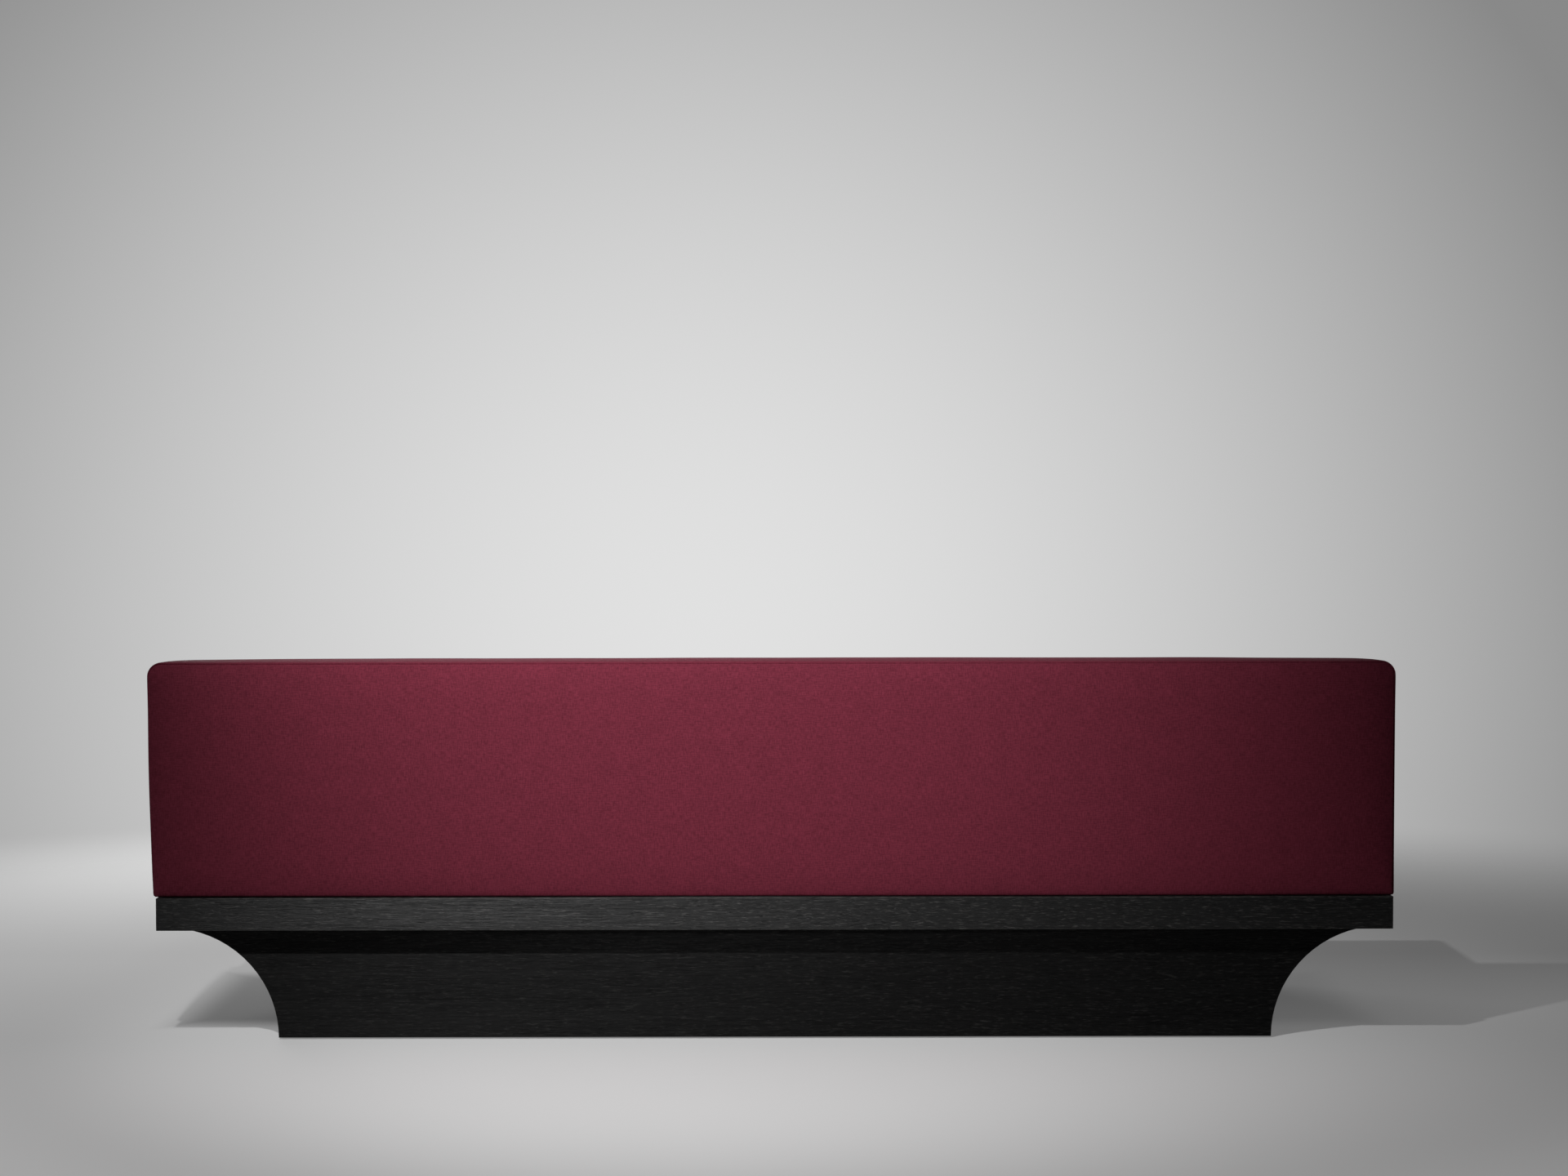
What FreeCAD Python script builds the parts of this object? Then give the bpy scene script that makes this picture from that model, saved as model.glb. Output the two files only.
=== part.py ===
import FreeCAD
import Part

import math
import os

from FreeCAD import Vector

# Dining sofa: an upholstered back and bench seat on a black oak deck, carried by a plinth with hollowed ends.
# Millimetres. X runs along the sofa, the sitter faces -Y and Z is up.
# The origin is on the floor under the middle of the deck.

# Deck: four mitred rails around a plywood torsion box
deck_length = 2386.0
deck_depth = 700.0
deck_thickness = 63.0
rail_width = 40.0
rail_arris = 1.5
rebate_width = 12.0
deck_top_thickness = 18.0
deck_bottom_thickness = 12.0
panel_clearance = 0.5
core_rib_width = 45.0
core_rib_pitch = 430.0
core_rib_count = 5
spline_length = 24.0
spline_width = 18.0
spline_thickness = 6.0
spline_clearance = 0.1

# Plinth: two long panels joined by bent coves at the ends
foot_gap = 3.0
plinth_height = 215.0
plinth_setback = 35.0
plinth_panel_thickness = 25.0
plinth_arris = 1.2
cove_inset = 13.0
cove_lip = 5.0
cove_thickness = 15.0
plinth_rib_thickness = 18.0
plinth_rib_pitch = 386.0
plinth_rib_count = 4
plinth_rib_lift = 10.0
former_thickness = 18.0
former_spacing = 260.0
former_foot = 60.0
glue_gap = 0.3
batten_size = 30.0
batten_gap = 1.0
batten_screws = 2

# Levelling feet: a swivel pad, a hexagon-collared screw and a tee nut in a block
leveller_end_gap = 70.0
leveller_columns = 3
leveller_edge = 40.0
block_size = 70.0
block_height = 45.0
pad_radius = 20.0
pad_rim = 6.0
pad_height = 12.0
pad_neck_radius = 9.0
pad_arris = 1.0
socket_depth = 8.0
screw_radius = 4.0
screw_foot_radius = 5.5
collar_flats = 13.0
collar_height = 6.0
screw_above_block = 4.0
running_clearance = 0.05
seat_clearance = 0.3

# Tee nuts, bolts and screws
tee_flange_radius = 11.0
tee_flange_thickness = 1.5
tee_barrel_radius = 5.0
tee_barrel_length = 10.0
bolt_radius = 4.0
bolt_hole_radius = 4.5
bolt_head_flats = 13.0
bolt_head_height = 5.5
washer_radius = 12.0
washer_thickness = 2.0
bolt_proud = 3.0
wood_screw_radius = 2.25
wood_screw_head_radius = 4.5
wood_screw_head_height = 3.0
wood_screw_bite = 10.0

# Upholstery common to the seat and the back
fabric_thickness = 2.0
soft_clearance = 0.3
cover_turn_in = 45.0
end_overhang = 11.0
end_draw = 5.0
face_reveal = 12.0
face_draw = 4.0
side_bow = 3.0
end_bow = 1.5
edge_radius = 14.0
fullest_share = 0.6
body_levels = 6
end_curve_angles = (0, 20)
edge_curve_angles = (0, 30, 55, 75, 90)
crown_steps = (0.3, 0.62, 0.9)
crown_end_stretch = 2.0
corner_room = 0.4

# Back
back_height = 449.0
back_depth_low = 200.0
back_depth_high = 160.0
back_corner_radius = 38.0
back_crown = 5.0
back_crown_reach = 50.0
back_rear_padding = 15.0
back_top_padding = 20.0
back_end_padding = 16.0
back_skin = 6.0
back_post_depth = 70.0
back_post_width = 45.0
back_post_pitch = 430.0
back_post_count = 4
back_bottom_rail_depth = 110.0
back_bottom_rail_height = 45.0
back_top_rail_height = 40.0
back_bolt_inset = 26.0
webbing_width = 60.0
webbing_thickness = 2.0
webbing_count = 4
tenon_length = 14.0
tenon_share = 0.5
tenon_clearance = 0.1

# Seat
seat_thickness = 177.0
seat_corner_radius = 38.0
seat_crown = 9.0
seat_crown_reach = 155.0
seat_side_padding = 18.0
seat_back_gap = 1.0
seat_rail_height = 70.0
seat_rail_thickness = 25.0
seat_cross_width = 45.0
seat_bolt_front_inset = 80.0
seat_bolt_back_inset = 70.0
corner_block_leg = 60.0
felt_thickness = 4.0
spring_wire_radius = 1.8
spring_half_width = 24.0
spring_bend_radius = 13.0
springs_per_bay = 2
clip_length = 22.0
clip_gauge = 1.5
clip_clearance = 0.3
clip_tab = 10.0

# Heights and faces that follow from the sizes above
deck_bottom = foot_gap + plinth_height
deck_top = deck_bottom + deck_thickness
core_bottom = deck_bottom + deck_bottom_thickness
core_top = deck_top - deck_top_thickness
half_length = deck_length / 2
half_depth = deck_depth / 2
rail_inner_x = half_length - rail_width
rail_inner_y = half_depth - rail_width
plinth_outer_y = half_depth - plinth_setback
plinth_inner_y = plinth_outer_y - plinth_panel_thickness
cove_centre_x = half_length - cove_inset
cove_radius = plinth_height
plinth_floor_x = cove_centre_x - cove_radius
cove_tip_x = cove_centre_x - math.sqrt(cove_radius ** 2 - (cove_radius - cove_lip) ** 2)
back_top = deck_top + back_height
seat_top = deck_top + seat_thickness
frame_bottom = deck_top + fabric_thickness
up = Vector(0, 0, 1)


def spread(count, pitch):
    """Evenly pitched places, centred on zero."""
    return [(i - (count - 1) / 2) * pitch for i in range(count)]


core_rib_places = spread(core_rib_count, core_rib_pitch)
leveller_reach = plinth_floor_x - cove_thickness - leveller_end_gap
leveller_places = [
    (x, side * (plinth_inner_y - leveller_edge))
    for side in (-1, 1)
    for x in spread(leveller_columns, 2 * leveller_reach / (leveller_columns - 1))
]


# Plain shapes

def block(x0, x1, y0, y1, z0, z1):
    return Part.makeBox(x1 - x0, y1 - y0, z1 - z0, Vector(x0, y0, z0))


def rod(x, y, z0, z1, radius):
    return Part.makeCylinder(radius, z1 - z0, Vector(x, y, z0), up)


def hexagon(x, y, z0, z1, flats):
    corner = flats / math.sqrt(3)
    ring = [
        Vector(x + corner * math.cos(math.radians(60 * i)), y + corner * math.sin(math.radians(60 * i)), z0)
        for i in range(7)
    ]
    return Part.Face(Part.makePolygon(ring)).extrude(Vector(0, 0, z1 - z0))


def line(a, b):
    return Part.LineSegment(a, b).toShape()


def arc(a, middle, b):
    return Part.Arc(a, middle, b).toShape()


def joined(shapes):
    whole = shapes[0]
    for other in shapes[1:]:
        whole = whole.fuse(other)
    return whole.removeSplitter()


def drilled(shape, drills):
    return shape.cut(Part.makeCompound(drills)) if drills else shape


def mirrored_x(shape):
    return shape.mirror(Vector(0, 0, 0), Vector(1, 0, 0))


def mirrored_y(shape):
    return shape.mirror(Vector(0, 0, 0), Vector(0, 1, 0))


# Upholstered forms: level outlines stacked from the deck up, lofted with straight rulings

def outline(z, half_x, y_front, y_back, front_radius, back_radius, bows):
    """A rounded outline whose four sides bow outwards by bows = (front, end, back)."""
    room = corner_room * (y_back - y_front)
    rf, rb = min(front_radius, room), min(back_radius, room)
    bow_front, bow_end, bow_back = bows
    slant = math.sqrt(0.5)

    def p(x, y):
        return Vector(x, y, z)

    def side(a, b, outward, bow):
        middle = (a + b) * 0.5 + outward * bow
        return arc(a, middle, b) if bow > 0 else line(a, b)

    def corner(cx, cy, r, sx, sy, flip):
        ends = [p(cx + sx * r, cy), p(cx, cy + sy * r)]
        first, last = ends[::-1] if flip else ends
        return arc(first, p(cx + sx * r * slant, cy + sy * r * slant), last)

    x, yf, yb = half_x, y_front, y_back
    edges = [
        side(p(-x + rf, yf), p(x - rf, yf), Vector(0, -1, 0), bow_front),
        corner(x - rf, yf + rf, rf, 1, -1, True),
        side(p(x, yf + rf), p(x, yb - rb), Vector(1, 0, 0), bow_end),
        corner(x - rb, yb - rb, rb, 1, 1, False),
        side(p(x - rb, yb), p(-x + rb, yb), Vector(0, 1, 0), bow_back),
        corner(-x + rb, yb - rb, rb, -1, 1, True),
        side(p(-x, yb - rb), p(-x, yf + rf), Vector(-1, 0, 0), bow_end),
        corner(-x + rf, yf + rf, rf, -1, -1, False),
    ]
    return Part.Wire(edges)


def top_edge_levels(rise_x, rise_y):
    """Heights below the top of the rounded edge, where outlines are taken for its curve."""
    wide = max(rise_x, rise_y)
    tight = min(rise_x, rise_y)
    levels = [wide - wide * math.sin(math.radians(a)) for a in end_curve_angles]
    levels += [tight - tight * math.sin(math.radians(a)) for a in edge_curve_angles]
    return sorted(set(levels), reverse=True)


def tucked(level, radius):
    """How far a rounded edge of that radius has come in, at a level below its top."""
    if level >= radius:
        return 0.0
    return radius - math.sqrt(radius ** 2 - (radius - level) ** 2)


def pillow(form, inset):
    """The stuffed form, drawn in at the deck and crowned on top, taken in all round by inset."""
    bottom, top = form["bottom"] + inset, form["top"] - inset
    shoulder = top - form["crown"]
    rise_x, rise_y = form["end_radius"] - inset, form["face_radius"] - inset
    front_radius, back_radius = form["front_corner"] - inset, form["back_corner"] - inset
    body_top = shoulder - max(rise_x, rise_y)

    def level_outline(z, in_x, in_y):
        share = (z - form["bottom"]) / (form["top"] - form["bottom"])
        half_x = form["half_x"](share) - inset - in_x
        y_front = form["y_front"](share) + inset + in_y
        y_back = form["y_back"](share) - inset - in_y
        return outline(z, half_x, y_front, y_back, front_radius, back_radius, form["bows"])

    sections = []
    for k in range(body_levels):
        z = bottom + (body_top - bottom) * k / body_levels
        sections.append(level_outline(z, 0, 0))
    for level in top_edge_levels(rise_x, rise_y):
        sections.append(level_outline(shoulder - level, tucked(level, rise_x), tucked(level, rise_y)))
    for step in crown_steps:
        z = top - form["crown"] * (1 - step) ** 2
        reach = form["crown_reach"] * step
        sections.append(level_outline(z, rise_x + crown_end_stretch * reach, rise_y + reach))
    return Part.makeLoft(sections, True, True)


def drawn_in(share, widest, draw):
    """A side that is drawn in at the deck and full from fullest_share of the height up."""
    short = max(0.0, (fullest_share - share) / fullest_share)
    return widest - draw * short ** 2


def back_front_plane(z):
    """Where the sloping front of the back stands at a height."""
    share = (z - deck_top) / back_height
    rear = half_depth - face_reveal
    return rear - back_depth_low + (back_depth_low - back_depth_high) * share


def seat_rear_plane(z):
    """Where the seat ends against the bowed front of the back."""
    return back_front_plane(z) - side_bow - seat_back_gap


def back_form():
    rear = half_depth - face_reveal
    seat_share = seat_thickness / back_height

    def swell(share):
        above = (share - seat_share) / (1 - seat_share)
        return math.sin(math.pi * above) if above > 0 else 0.0

    return {
        "bottom": deck_top,
        "top": back_top,
        "crown": back_crown,
        "crown_reach": back_crown_reach,
        "end_radius": back_corner_radius,
        "face_radius": edge_radius,
        "front_corner": edge_radius,
        "back_corner": edge_radius,
        "half_x": lambda share: half_length + drawn_in(share, end_overhang, end_draw),
        "y_front": lambda share: back_front_plane(deck_top + share * back_height) - face_draw * swell(share),
        "y_back": lambda share: rear + face_draw * math.sin(math.pi * share),
        "bows": (side_bow, end_bow, side_bow),
    }


def seat_form():
    front = face_reveal - half_depth
    return {
        "bottom": deck_top,
        "top": seat_top,
        "crown": seat_crown,
        "crown_reach": seat_crown_reach,
        "end_radius": edge_radius,
        "face_radius": edge_radius,
        "front_corner": seat_corner_radius,
        "back_corner": edge_radius,
        "half_x": lambda share: half_length + drawn_in(share, end_overhang, end_draw),
        "y_front": lambda share: front - drawn_in(share, face_draw, face_draw),
        "y_back": lambda share: seat_rear_plane(deck_top + share * seat_thickness),
        "bows": (side_bow, end_bow, 0.0),
    }


def cover(form):
    """The sewn fabric cover: a skin with a turned-in edge round an open underside."""
    skin = pillow(form, 0).cut(pillow(form, fabric_thickness))
    rim = cover_turn_in
    y0, y1 = form["y_front"](0) + rim, form["y_back"](0) - rim
    x1 = form["half_x"](0) - rim
    return skin.cut(block(-x1, x1, y0, y1, deck_top - rim, frame_bottom + rim / 2))


# Fasteners

def tee_nut(x, y, face, barrel_up, thread_radius):
    """A tee nut with its flange on the face and its barrel in the wood, above or below it."""
    way = 1 if barrel_up else -1
    flange = sorted((face, face - way * tee_flange_thickness))
    barrel = sorted((face, face + way * tee_barrel_length))
    bore_ends = sorted((flange[0], flange[1], barrel[0], barrel[1]))
    solid = joined([
        rod(x, y, flange[0], flange[1], tee_flange_radius),
        rod(x, y, barrel[0], barrel[1], tee_barrel_radius),
    ])
    return solid.cut(rod(x, y, bore_ends[0], bore_ends[-1], thread_radius + running_clearance))


def barrel_hole(x, y, z0, z1):
    return rod(x, y, z0, z1, tee_barrel_radius + running_clearance)


def deck_bolt(x, y, nut_face):
    """A hexagon bolt from under the deck up through a tee nut whose flange lies on nut_face."""
    head_top = deck_bottom - washer_thickness
    head = hexagon(x, y, head_top - bolt_head_height, head_top, bolt_head_flats)
    shank = rod(x, y, head_top, nut_face + tee_flange_thickness + bolt_proud, bolt_radius)
    return joined([head, shank])


def deck_washer(x, y):
    ring = rod(x, y, deck_bottom - washer_thickness, deck_bottom, washer_radius)
    return ring.cut(rod(x, y, deck_bottom - washer_thickness, deck_bottom, bolt_hole_radius))


back_skin_outer_y = half_depth - face_reveal - back_rear_padding - fabric_thickness - soft_clearance
back_skin_inner_y = back_skin_outer_y - back_skin
back_post_front_y = back_skin_inner_y - back_post_depth
back_rail_front_y = back_skin_inner_y - back_bottom_rail_depth
back_bolt_y = back_rail_front_y + back_bolt_inset
back_frame_x = half_length - back_end_padding
back_frame_top = back_top - back_top_padding
back_nut_face = frame_bottom + back_bottom_rail_height

seat_frame_front_y = face_reveal - half_depth + seat_side_padding + fabric_thickness
seat_frame_back_y = seat_rear_plane(deck_top) - seat_side_padding - fabric_thickness
seat_frame_x = half_length - seat_side_padding
seat_nut_face = frame_bottom + seat_rail_height
seat_bolt_rows = (
    seat_frame_front_y + seat_bolt_front_inset,
    seat_frame_back_y - seat_bolt_back_inset,
)

back_bolt_places = [(x, back_bolt_y) for x in core_rib_places]
seat_bolt_places = [(x, y) for y in seat_bolt_rows for x in core_rib_places]


def bolt_drills(places, z0, z1):
    return [rod(x, y, z0, z1, bolt_hole_radius) for x, y in places]


deck_drills = bolt_drills(back_bolt_places + seat_bolt_places, deck_bottom, deck_top)


# Deck

def spline_box(sx, sy, grow):
    """The loose tongue across one mitre, or with grow its slot."""
    half_l, half_w = spline_length / 2 + grow, spline_width / 2 + grow
    half_t = spline_thickness / 2 + grow
    tongue = block(-half_l, half_l, -half_w, half_w, -half_t, half_t)
    tongue.rotate(Vector(0, 0, 0), up, 45 if sx * sy > 0 else -45)
    x, y = half_length - rail_width / 2, half_depth - rail_width / 2
    tongue.translate(Vector(sx * x, sy * y, (core_bottom + core_top) / 2))
    return tongue


def rail_section(outer, sign):
    """A rail's section as (distance across, height) points: arrises outside, rebates inside."""
    inner = outer - rail_width
    land = outer - rail_width + rebate_width
    a = rail_arris
    slant = a * (1 - math.sqrt(0.5))

    def p(across, z):
        return Vector(0, sign * across, z)

    return Part.Face(Part.Wire([
        line(p(land, deck_bottom), p(outer - a, deck_bottom)),
        arc(p(outer - a, deck_bottom), p(outer - slant, deck_bottom + slant), p(outer, deck_bottom + a)),
        line(p(outer, deck_bottom + a), p(outer, deck_top - a)),
        arc(p(outer, deck_top - a), p(outer - slant, deck_top - slant), p(outer - a, deck_top)),
        line(p(outer - a, deck_top), p(land, deck_top)),
        line(p(land, deck_top), p(land, core_top)),
        line(p(land, core_top), p(inner, core_top)),
        line(p(inner, core_top), p(inner, core_bottom)),
        line(p(inner, core_bottom), p(land, core_bottom)),
        line(p(land, core_bottom), p(land, deck_bottom)),
    ]))


def mitred_rail(half_run, outer, sign):
    """A rail along X whose ends are mitred, with the outer corner eased, centred on X."""
    section = rail_section(outer, sign)
    section.translate(Vector(-half_run, 0, 0))
    bar = section.extrude(Vector(2 * half_run, 0, 0))
    ease = rail_arris

    def p(x, across):
        return Vector(x, sign * across, deck_bottom)

    inner = outer - rail_width
    plan = [
        p(-half_run + ease, outer),
        p(half_run - ease, outer),
        p(half_run - ease / 2, outer - ease / 2),
        p(half_run - rail_width, inner),
        p(-half_run + rail_width, inner),
        p(-half_run + ease / 2, outer - ease / 2),
        p(-half_run + ease, outer),
    ]
    keep = Part.Face(Part.makePolygon(plan)).extrude(Vector(0, 0, deck_thickness))
    return bar.common(keep)


def deck_rails():
    slots = [spline_box(sx, sy, spline_clearance) for sx in (-1, 1) for sy in (-1, 1)]
    rails = {}
    for name, sign in (("deck_front_rail", -1), ("deck_back_rail", 1)):
        rails[name] = drilled(mitred_rail(half_length, half_depth, sign), slots)
    for name, turn in (("deck_left_rail", 90), ("deck_right_rail", -90)):
        bar = mitred_rail(half_depth, half_length, 1)
        bar.rotate(Vector(0, 0, 0), up, turn)
        rails[name] = drilled(bar, slots)
    return rails


def deck_panel(z0, z1):
    x1 = rail_inner_x + rebate_width - panel_clearance
    y1 = rail_inner_y + rebate_width - panel_clearance
    return drilled(block(-x1, x1, -y1, y1, z0, z1), deck_drills)


def core_ribs():
    half, y1 = core_rib_width / 2, rail_inner_y
    ribs = [block(x - half, x + half, -y1, y1, core_bottom, core_top) for x in core_rib_places]
    return [drilled(rib, deck_drills) for rib in ribs]


# Plinth

def cove_angle(radius, height):
    """The angle on a cove arc, about its centre on the plinth's foot, that reaches a height."""
    return math.pi - math.asin(height / radius)


def cove_point(radius, angle, y):
    return Vector(cove_centre_x + radius * math.cos(angle), y, foot_gap + radius * math.sin(angle))


def cove_arc(radius, start, end, y):
    return arc(
        cove_point(radius, start, y),
        cove_point(radius, (start + end) / 2, y),
        cove_point(radius, end, y),
    )


def plinth_panel(sign):
    """A long panel whose ends are hollowed by the coves, with its outer arrises eased."""
    y = sign * plinth_inner_y
    tip = cove_angle(cove_radius, cove_radius - cove_lip)
    hollow = cove_arc(cove_radius, math.pi, tip, y)
    foot = cove_point(cove_radius, math.pi, y)
    lip_low = cove_point(cove_radius, tip, y)
    lip_high = Vector(cove_tip_x, y, deck_bottom)

    def other(point):
        return Vector(-point.x, point.y, point.z)

    profile = Part.Wire([
        line(other(foot), foot),
        hollow,
        line(lip_low, lip_high),
        line(lip_high, other(lip_high)),
        line(other(lip_high), other(lip_low)),
        mirrored_x(hollow),
    ])
    panel = Part.Face(profile).extrude(Vector(0, sign * plinth_panel_thickness, 0))
    eased = [
        e
        for e in panel.Edges
        if all(abs(v.Y - sign * plinth_outer_y) < 0.01 for v in e.Vertexes)
        and min(v.Z for v in e.Vertexes) < deck_bottom - cove_lip - 0.01
    ]
    return panel.makeFillet(plinth_arris, eased)


def cove_panel():
    """The bent cove at the +X end, between the two long panels."""
    y = -plinth_inner_y
    outer = cove_radius + cove_thickness
    tip = cove_angle(cove_radius, cove_radius - cove_lip)
    back_tip = cove_angle(outer, plinth_height)
    lip_low = cove_point(cove_radius, tip, y)
    lip_high = Vector(cove_tip_x, y, deck_bottom)
    profile = Part.Wire([
        cove_arc(cove_radius, math.pi, tip, y),
        line(lip_low, lip_high),
        line(lip_high, cove_point(outer, back_tip, y)),
        cove_arc(outer, back_tip, math.pi, y),
        line(cove_point(outer, math.pi, y), cove_point(cove_radius, math.pi, y)),
    ])
    return Part.Face(profile).extrude(Vector(0, 2 * plinth_inner_y, 0))


def cove_former(y):
    """A shaped rib behind the +X cove."""
    y0 = y - former_thickness / 2
    radius = cove_radius + cove_thickness + glue_gap
    tip = cove_angle(radius, plinth_height)
    foot = cove_point(radius, math.pi, y0)
    inner_x = foot.x - former_foot
    profile = Part.Wire([
        cove_arc(radius, math.pi, tip, y0),
        line(cove_point(radius, tip, y0), Vector(inner_x, y0, deck_bottom)),
        line(Vector(inner_x, y0, deck_bottom), Vector(inner_x, y0, foot_gap)),
        line(Vector(inner_x, y0, foot_gap), foot),
    ])
    return Part.Face(profile).extrude(Vector(0, former_thickness, 0))


def plinth_ribs():
    half, y1 = plinth_rib_thickness / 2, plinth_inner_y
    z0 = foot_gap + plinth_rib_lift
    return [
        block(x - half, x + half, -y1, y1, z0, deck_bottom)
        for x in spread(plinth_rib_count, plinth_rib_pitch)
    ]


def batten_runs():
    """The clear lengths of batten between the ribs, out to the formers' inner edge."""
    end = plinth_floor_x - cove_thickness - former_foot - batten_gap
    half = plinth_rib_thickness / 2 + batten_gap
    ribs = spread(plinth_rib_count, plinth_rib_pitch)
    starts = [-end] + [x + half for x in ribs]
    stops = [x - half for x in ribs] + [end]
    return list(zip(starts, stops))


def batten_screw_places():
    places = []
    for x0, x1 in batten_runs():
        for k in range(batten_screws):
            x = x0 + (x1 - x0) * (k + 0.5) / batten_screws
            places += [(x, sign * (plinth_inner_y - batten_size / 2)) for sign in (-1, 1)]
    return places


def wood_screw_hole(x, y):
    z0 = deck_bottom - batten_size
    return rod(x, y, z0, deck_bottom + wood_screw_bite, wood_screw_radius + running_clearance)


def battens():
    z0 = deck_bottom - batten_size
    holes = [wood_screw_hole(x, y) for x, y in batten_screw_places()]
    pieces = []
    for x0, x1 in batten_runs():
        strip = block(x0, x1, plinth_inner_y - batten_size, plinth_inner_y, z0, deck_bottom)
        pieces += [drilled(s, holes) for s in (strip, mirrored_y(strip))]
    return pieces


def wood_screws():
    face = deck_bottom - batten_size
    return [
        joined([
            rod(x, y, face - wood_screw_head_height, face, wood_screw_head_radius),
            rod(x, y, face, deck_bottom + wood_screw_bite - running_clearance, wood_screw_radius),
        ])
        for x, y in batten_screw_places()
    ]


# Levelling feet

collar_bottom = pad_height + seat_clearance
collar_top = collar_bottom + collar_height
block_bottom = collar_top + seat_clearance + tee_flange_thickness
block_top = block_bottom + block_height


def leveller_block(x, y):
    half, wall = block_size / 2, plinth_inner_y
    near, far = sorted((math.copysign(wall, y), y - math.copysign(half, y)))
    body = block(x - half, x + half, near, far, block_bottom, block_top)
    return body.cut(barrel_hole(x, y, block_bottom, block_top))


def leveller_pad(x, y):
    """A round swivel pad, turned as one profile, with a socket for the screw's foot."""
    socket = screw_foot_radius + running_clearance
    floor = pad_height - socket_depth

    def p(r, z):
        return Vector(x + r, y, z)

    profile = Part.makePolygon([
        p(0, 0),
        p(pad_radius - pad_arris, 0),
        p(pad_radius, pad_arris),
        p(pad_radius, pad_rim),
        p(pad_neck_radius, pad_height),
        p(socket, pad_height),
        p(socket, floor),
        p(0, floor),
        p(0, 0),
    ])
    return Part.Face(profile).revolve(Vector(x, y, 0), up, 360)


def leveller_screw(x, y):
    foot_bottom = pad_height - socket_depth + running_clearance
    return joined([
        rod(x, y, foot_bottom, collar_bottom, screw_foot_radius),
        hexagon(x, y, collar_bottom, collar_top, collar_flats),
        rod(x, y, collar_top, block_top + screw_above_block, screw_radius),
    ])


# Back frame

def back_post_places():
    end = back_frame_x - back_post_width / 2
    return [-end] + spread(back_post_count, back_post_pitch) + [end]


def tenon(x, z0, z1, grow):
    half_x, middle = back_post_width * tenon_share / 2 + grow, (back_post_front_y + back_skin_inner_y) / 2
    half_y = back_post_depth * tenon_share / 2 + grow
    return block(x - half_x, x + half_x, middle - half_y, middle + half_y, z0, z1)


def back_posts():
    z0, z1 = back_nut_face, back_frame_top - back_top_rail_height
    half = back_post_width / 2
    return [
        joined([
            block(x - half, x + half, back_post_front_y, back_skin_inner_y, z0, z1),
            tenon(x, z0 - tenon_length, z1 + tenon_length, 0),
        ])
        for x in back_post_places()
    ]


def back_mortises():
    z0, z1 = back_nut_face, back_frame_top - back_top_rail_height
    reach = tenon_length + tenon_clearance
    return [tenon(x, z0 - reach, z1 + reach, tenon_clearance) for x in back_post_places()]


def back_bottom_rail():
    """The wide foot rail, with a pad through the cover's open underside down to the deck."""
    form = back_form()
    x_pad = form["half_x"](0) - cover_turn_in - panel_clearance
    y_pad = form["y_back"](0) - cover_turn_in - panel_clearance
    rail = joined([
        block(-back_frame_x, back_frame_x, back_rail_front_y, back_skin_inner_y, frame_bottom, back_nut_face),
        block(-x_pad, x_pad, back_rail_front_y, y_pad, deck_top, frame_bottom),
    ])
    holes = [barrel_hole(x, y, deck_top, back_nut_face) for x, y in back_bolt_places]
    return drilled(rail, holes + back_mortises())


def back_top_rail():
    z0 = back_frame_top - back_top_rail_height
    rail = block(-back_frame_x, back_frame_x, back_post_front_y, back_skin_inner_y, z0, back_frame_top)
    return drilled(rail, back_mortises())


def back_skin_panel():
    return block(
        -back_frame_x, back_frame_x, back_skin_inner_y, back_skin_outer_y, frame_bottom, back_frame_top
    )


def back_webbing():
    """Elastic bands stretched along the front of the posts."""
    low, high = back_nut_face, back_frame_top
    y0 = back_post_front_y - webbing_thickness
    gap = (high - low) / webbing_count
    bands = []
    for k in range(webbing_count):
        middle = low + gap * (k + 0.5)
        z0, z1 = middle - webbing_width / 2, middle + webbing_width / 2
        bands.append(block(-back_frame_x, back_frame_x, y0, back_post_front_y, z0, z1))
    return bands


def back_foams():
    """The thick front foam and the thin wrap round the rest, parted just in front of the webbing."""
    form = back_form()
    stuffing = pillow(form, fabric_thickness + soft_clearance)
    gap = soft_clearance
    parting = back_post_front_y - webbing_thickness - gap
    far = deck_depth
    big = (-deck_length, deck_length)
    front_side = block(*big, -far, parting, 0, 2 * back_top)
    rear_side = block(*big, parting + gap, far, 0, 2 * back_top)
    space_x = back_frame_x + gap
    frame_space = block(-space_x, space_x, parting - gap, back_skin_outer_y + gap, 0, back_frame_top + gap)
    bolt_end = back_nut_face + tee_flange_thickness + bolt_proud
    rail_space = block(-space_x, space_x, back_rail_front_y - gap, far, 0, bolt_end + gap)
    front = stuffing.common(front_side).cut(rail_space)
    wrap = stuffing.common(rear_side).cut(frame_space)
    return front, wrap


# Seat frame and springs

def seat_tenon(x, y0, y1, grow):
    half_x = seat_cross_width * tenon_share / 2 + grow
    middle = frame_bottom + seat_rail_height / 2
    half_z = seat_rail_height * tenon_share / 2 + grow
    return block(x - half_x, x + half_x, y0, y1, middle - half_z, middle + half_z)


seat_inner_front_y = seat_frame_front_y + seat_rail_thickness
seat_inner_back_y = seat_frame_back_y - seat_rail_thickness


def seat_mortises():
    y0 = seat_inner_front_y - tenon_length - tenon_clearance
    y1 = seat_inner_back_y + tenon_length + tenon_clearance
    return [seat_tenon(x, y0, y1, tenon_clearance) for x in core_rib_places]


def seat_long_rail(y0):
    y1 = y0 + seat_rail_thickness
    rail = block(-seat_frame_x, seat_frame_x, y0, y1, frame_bottom, seat_nut_face)
    return drilled(rail, seat_mortises())


def seat_end_rails():
    rail = block(
        seat_frame_x - seat_rail_thickness, seat_frame_x, seat_inner_front_y, seat_inner_back_y,
        frame_bottom, seat_nut_face
    )
    return [mirrored_x(rail), rail]


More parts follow.
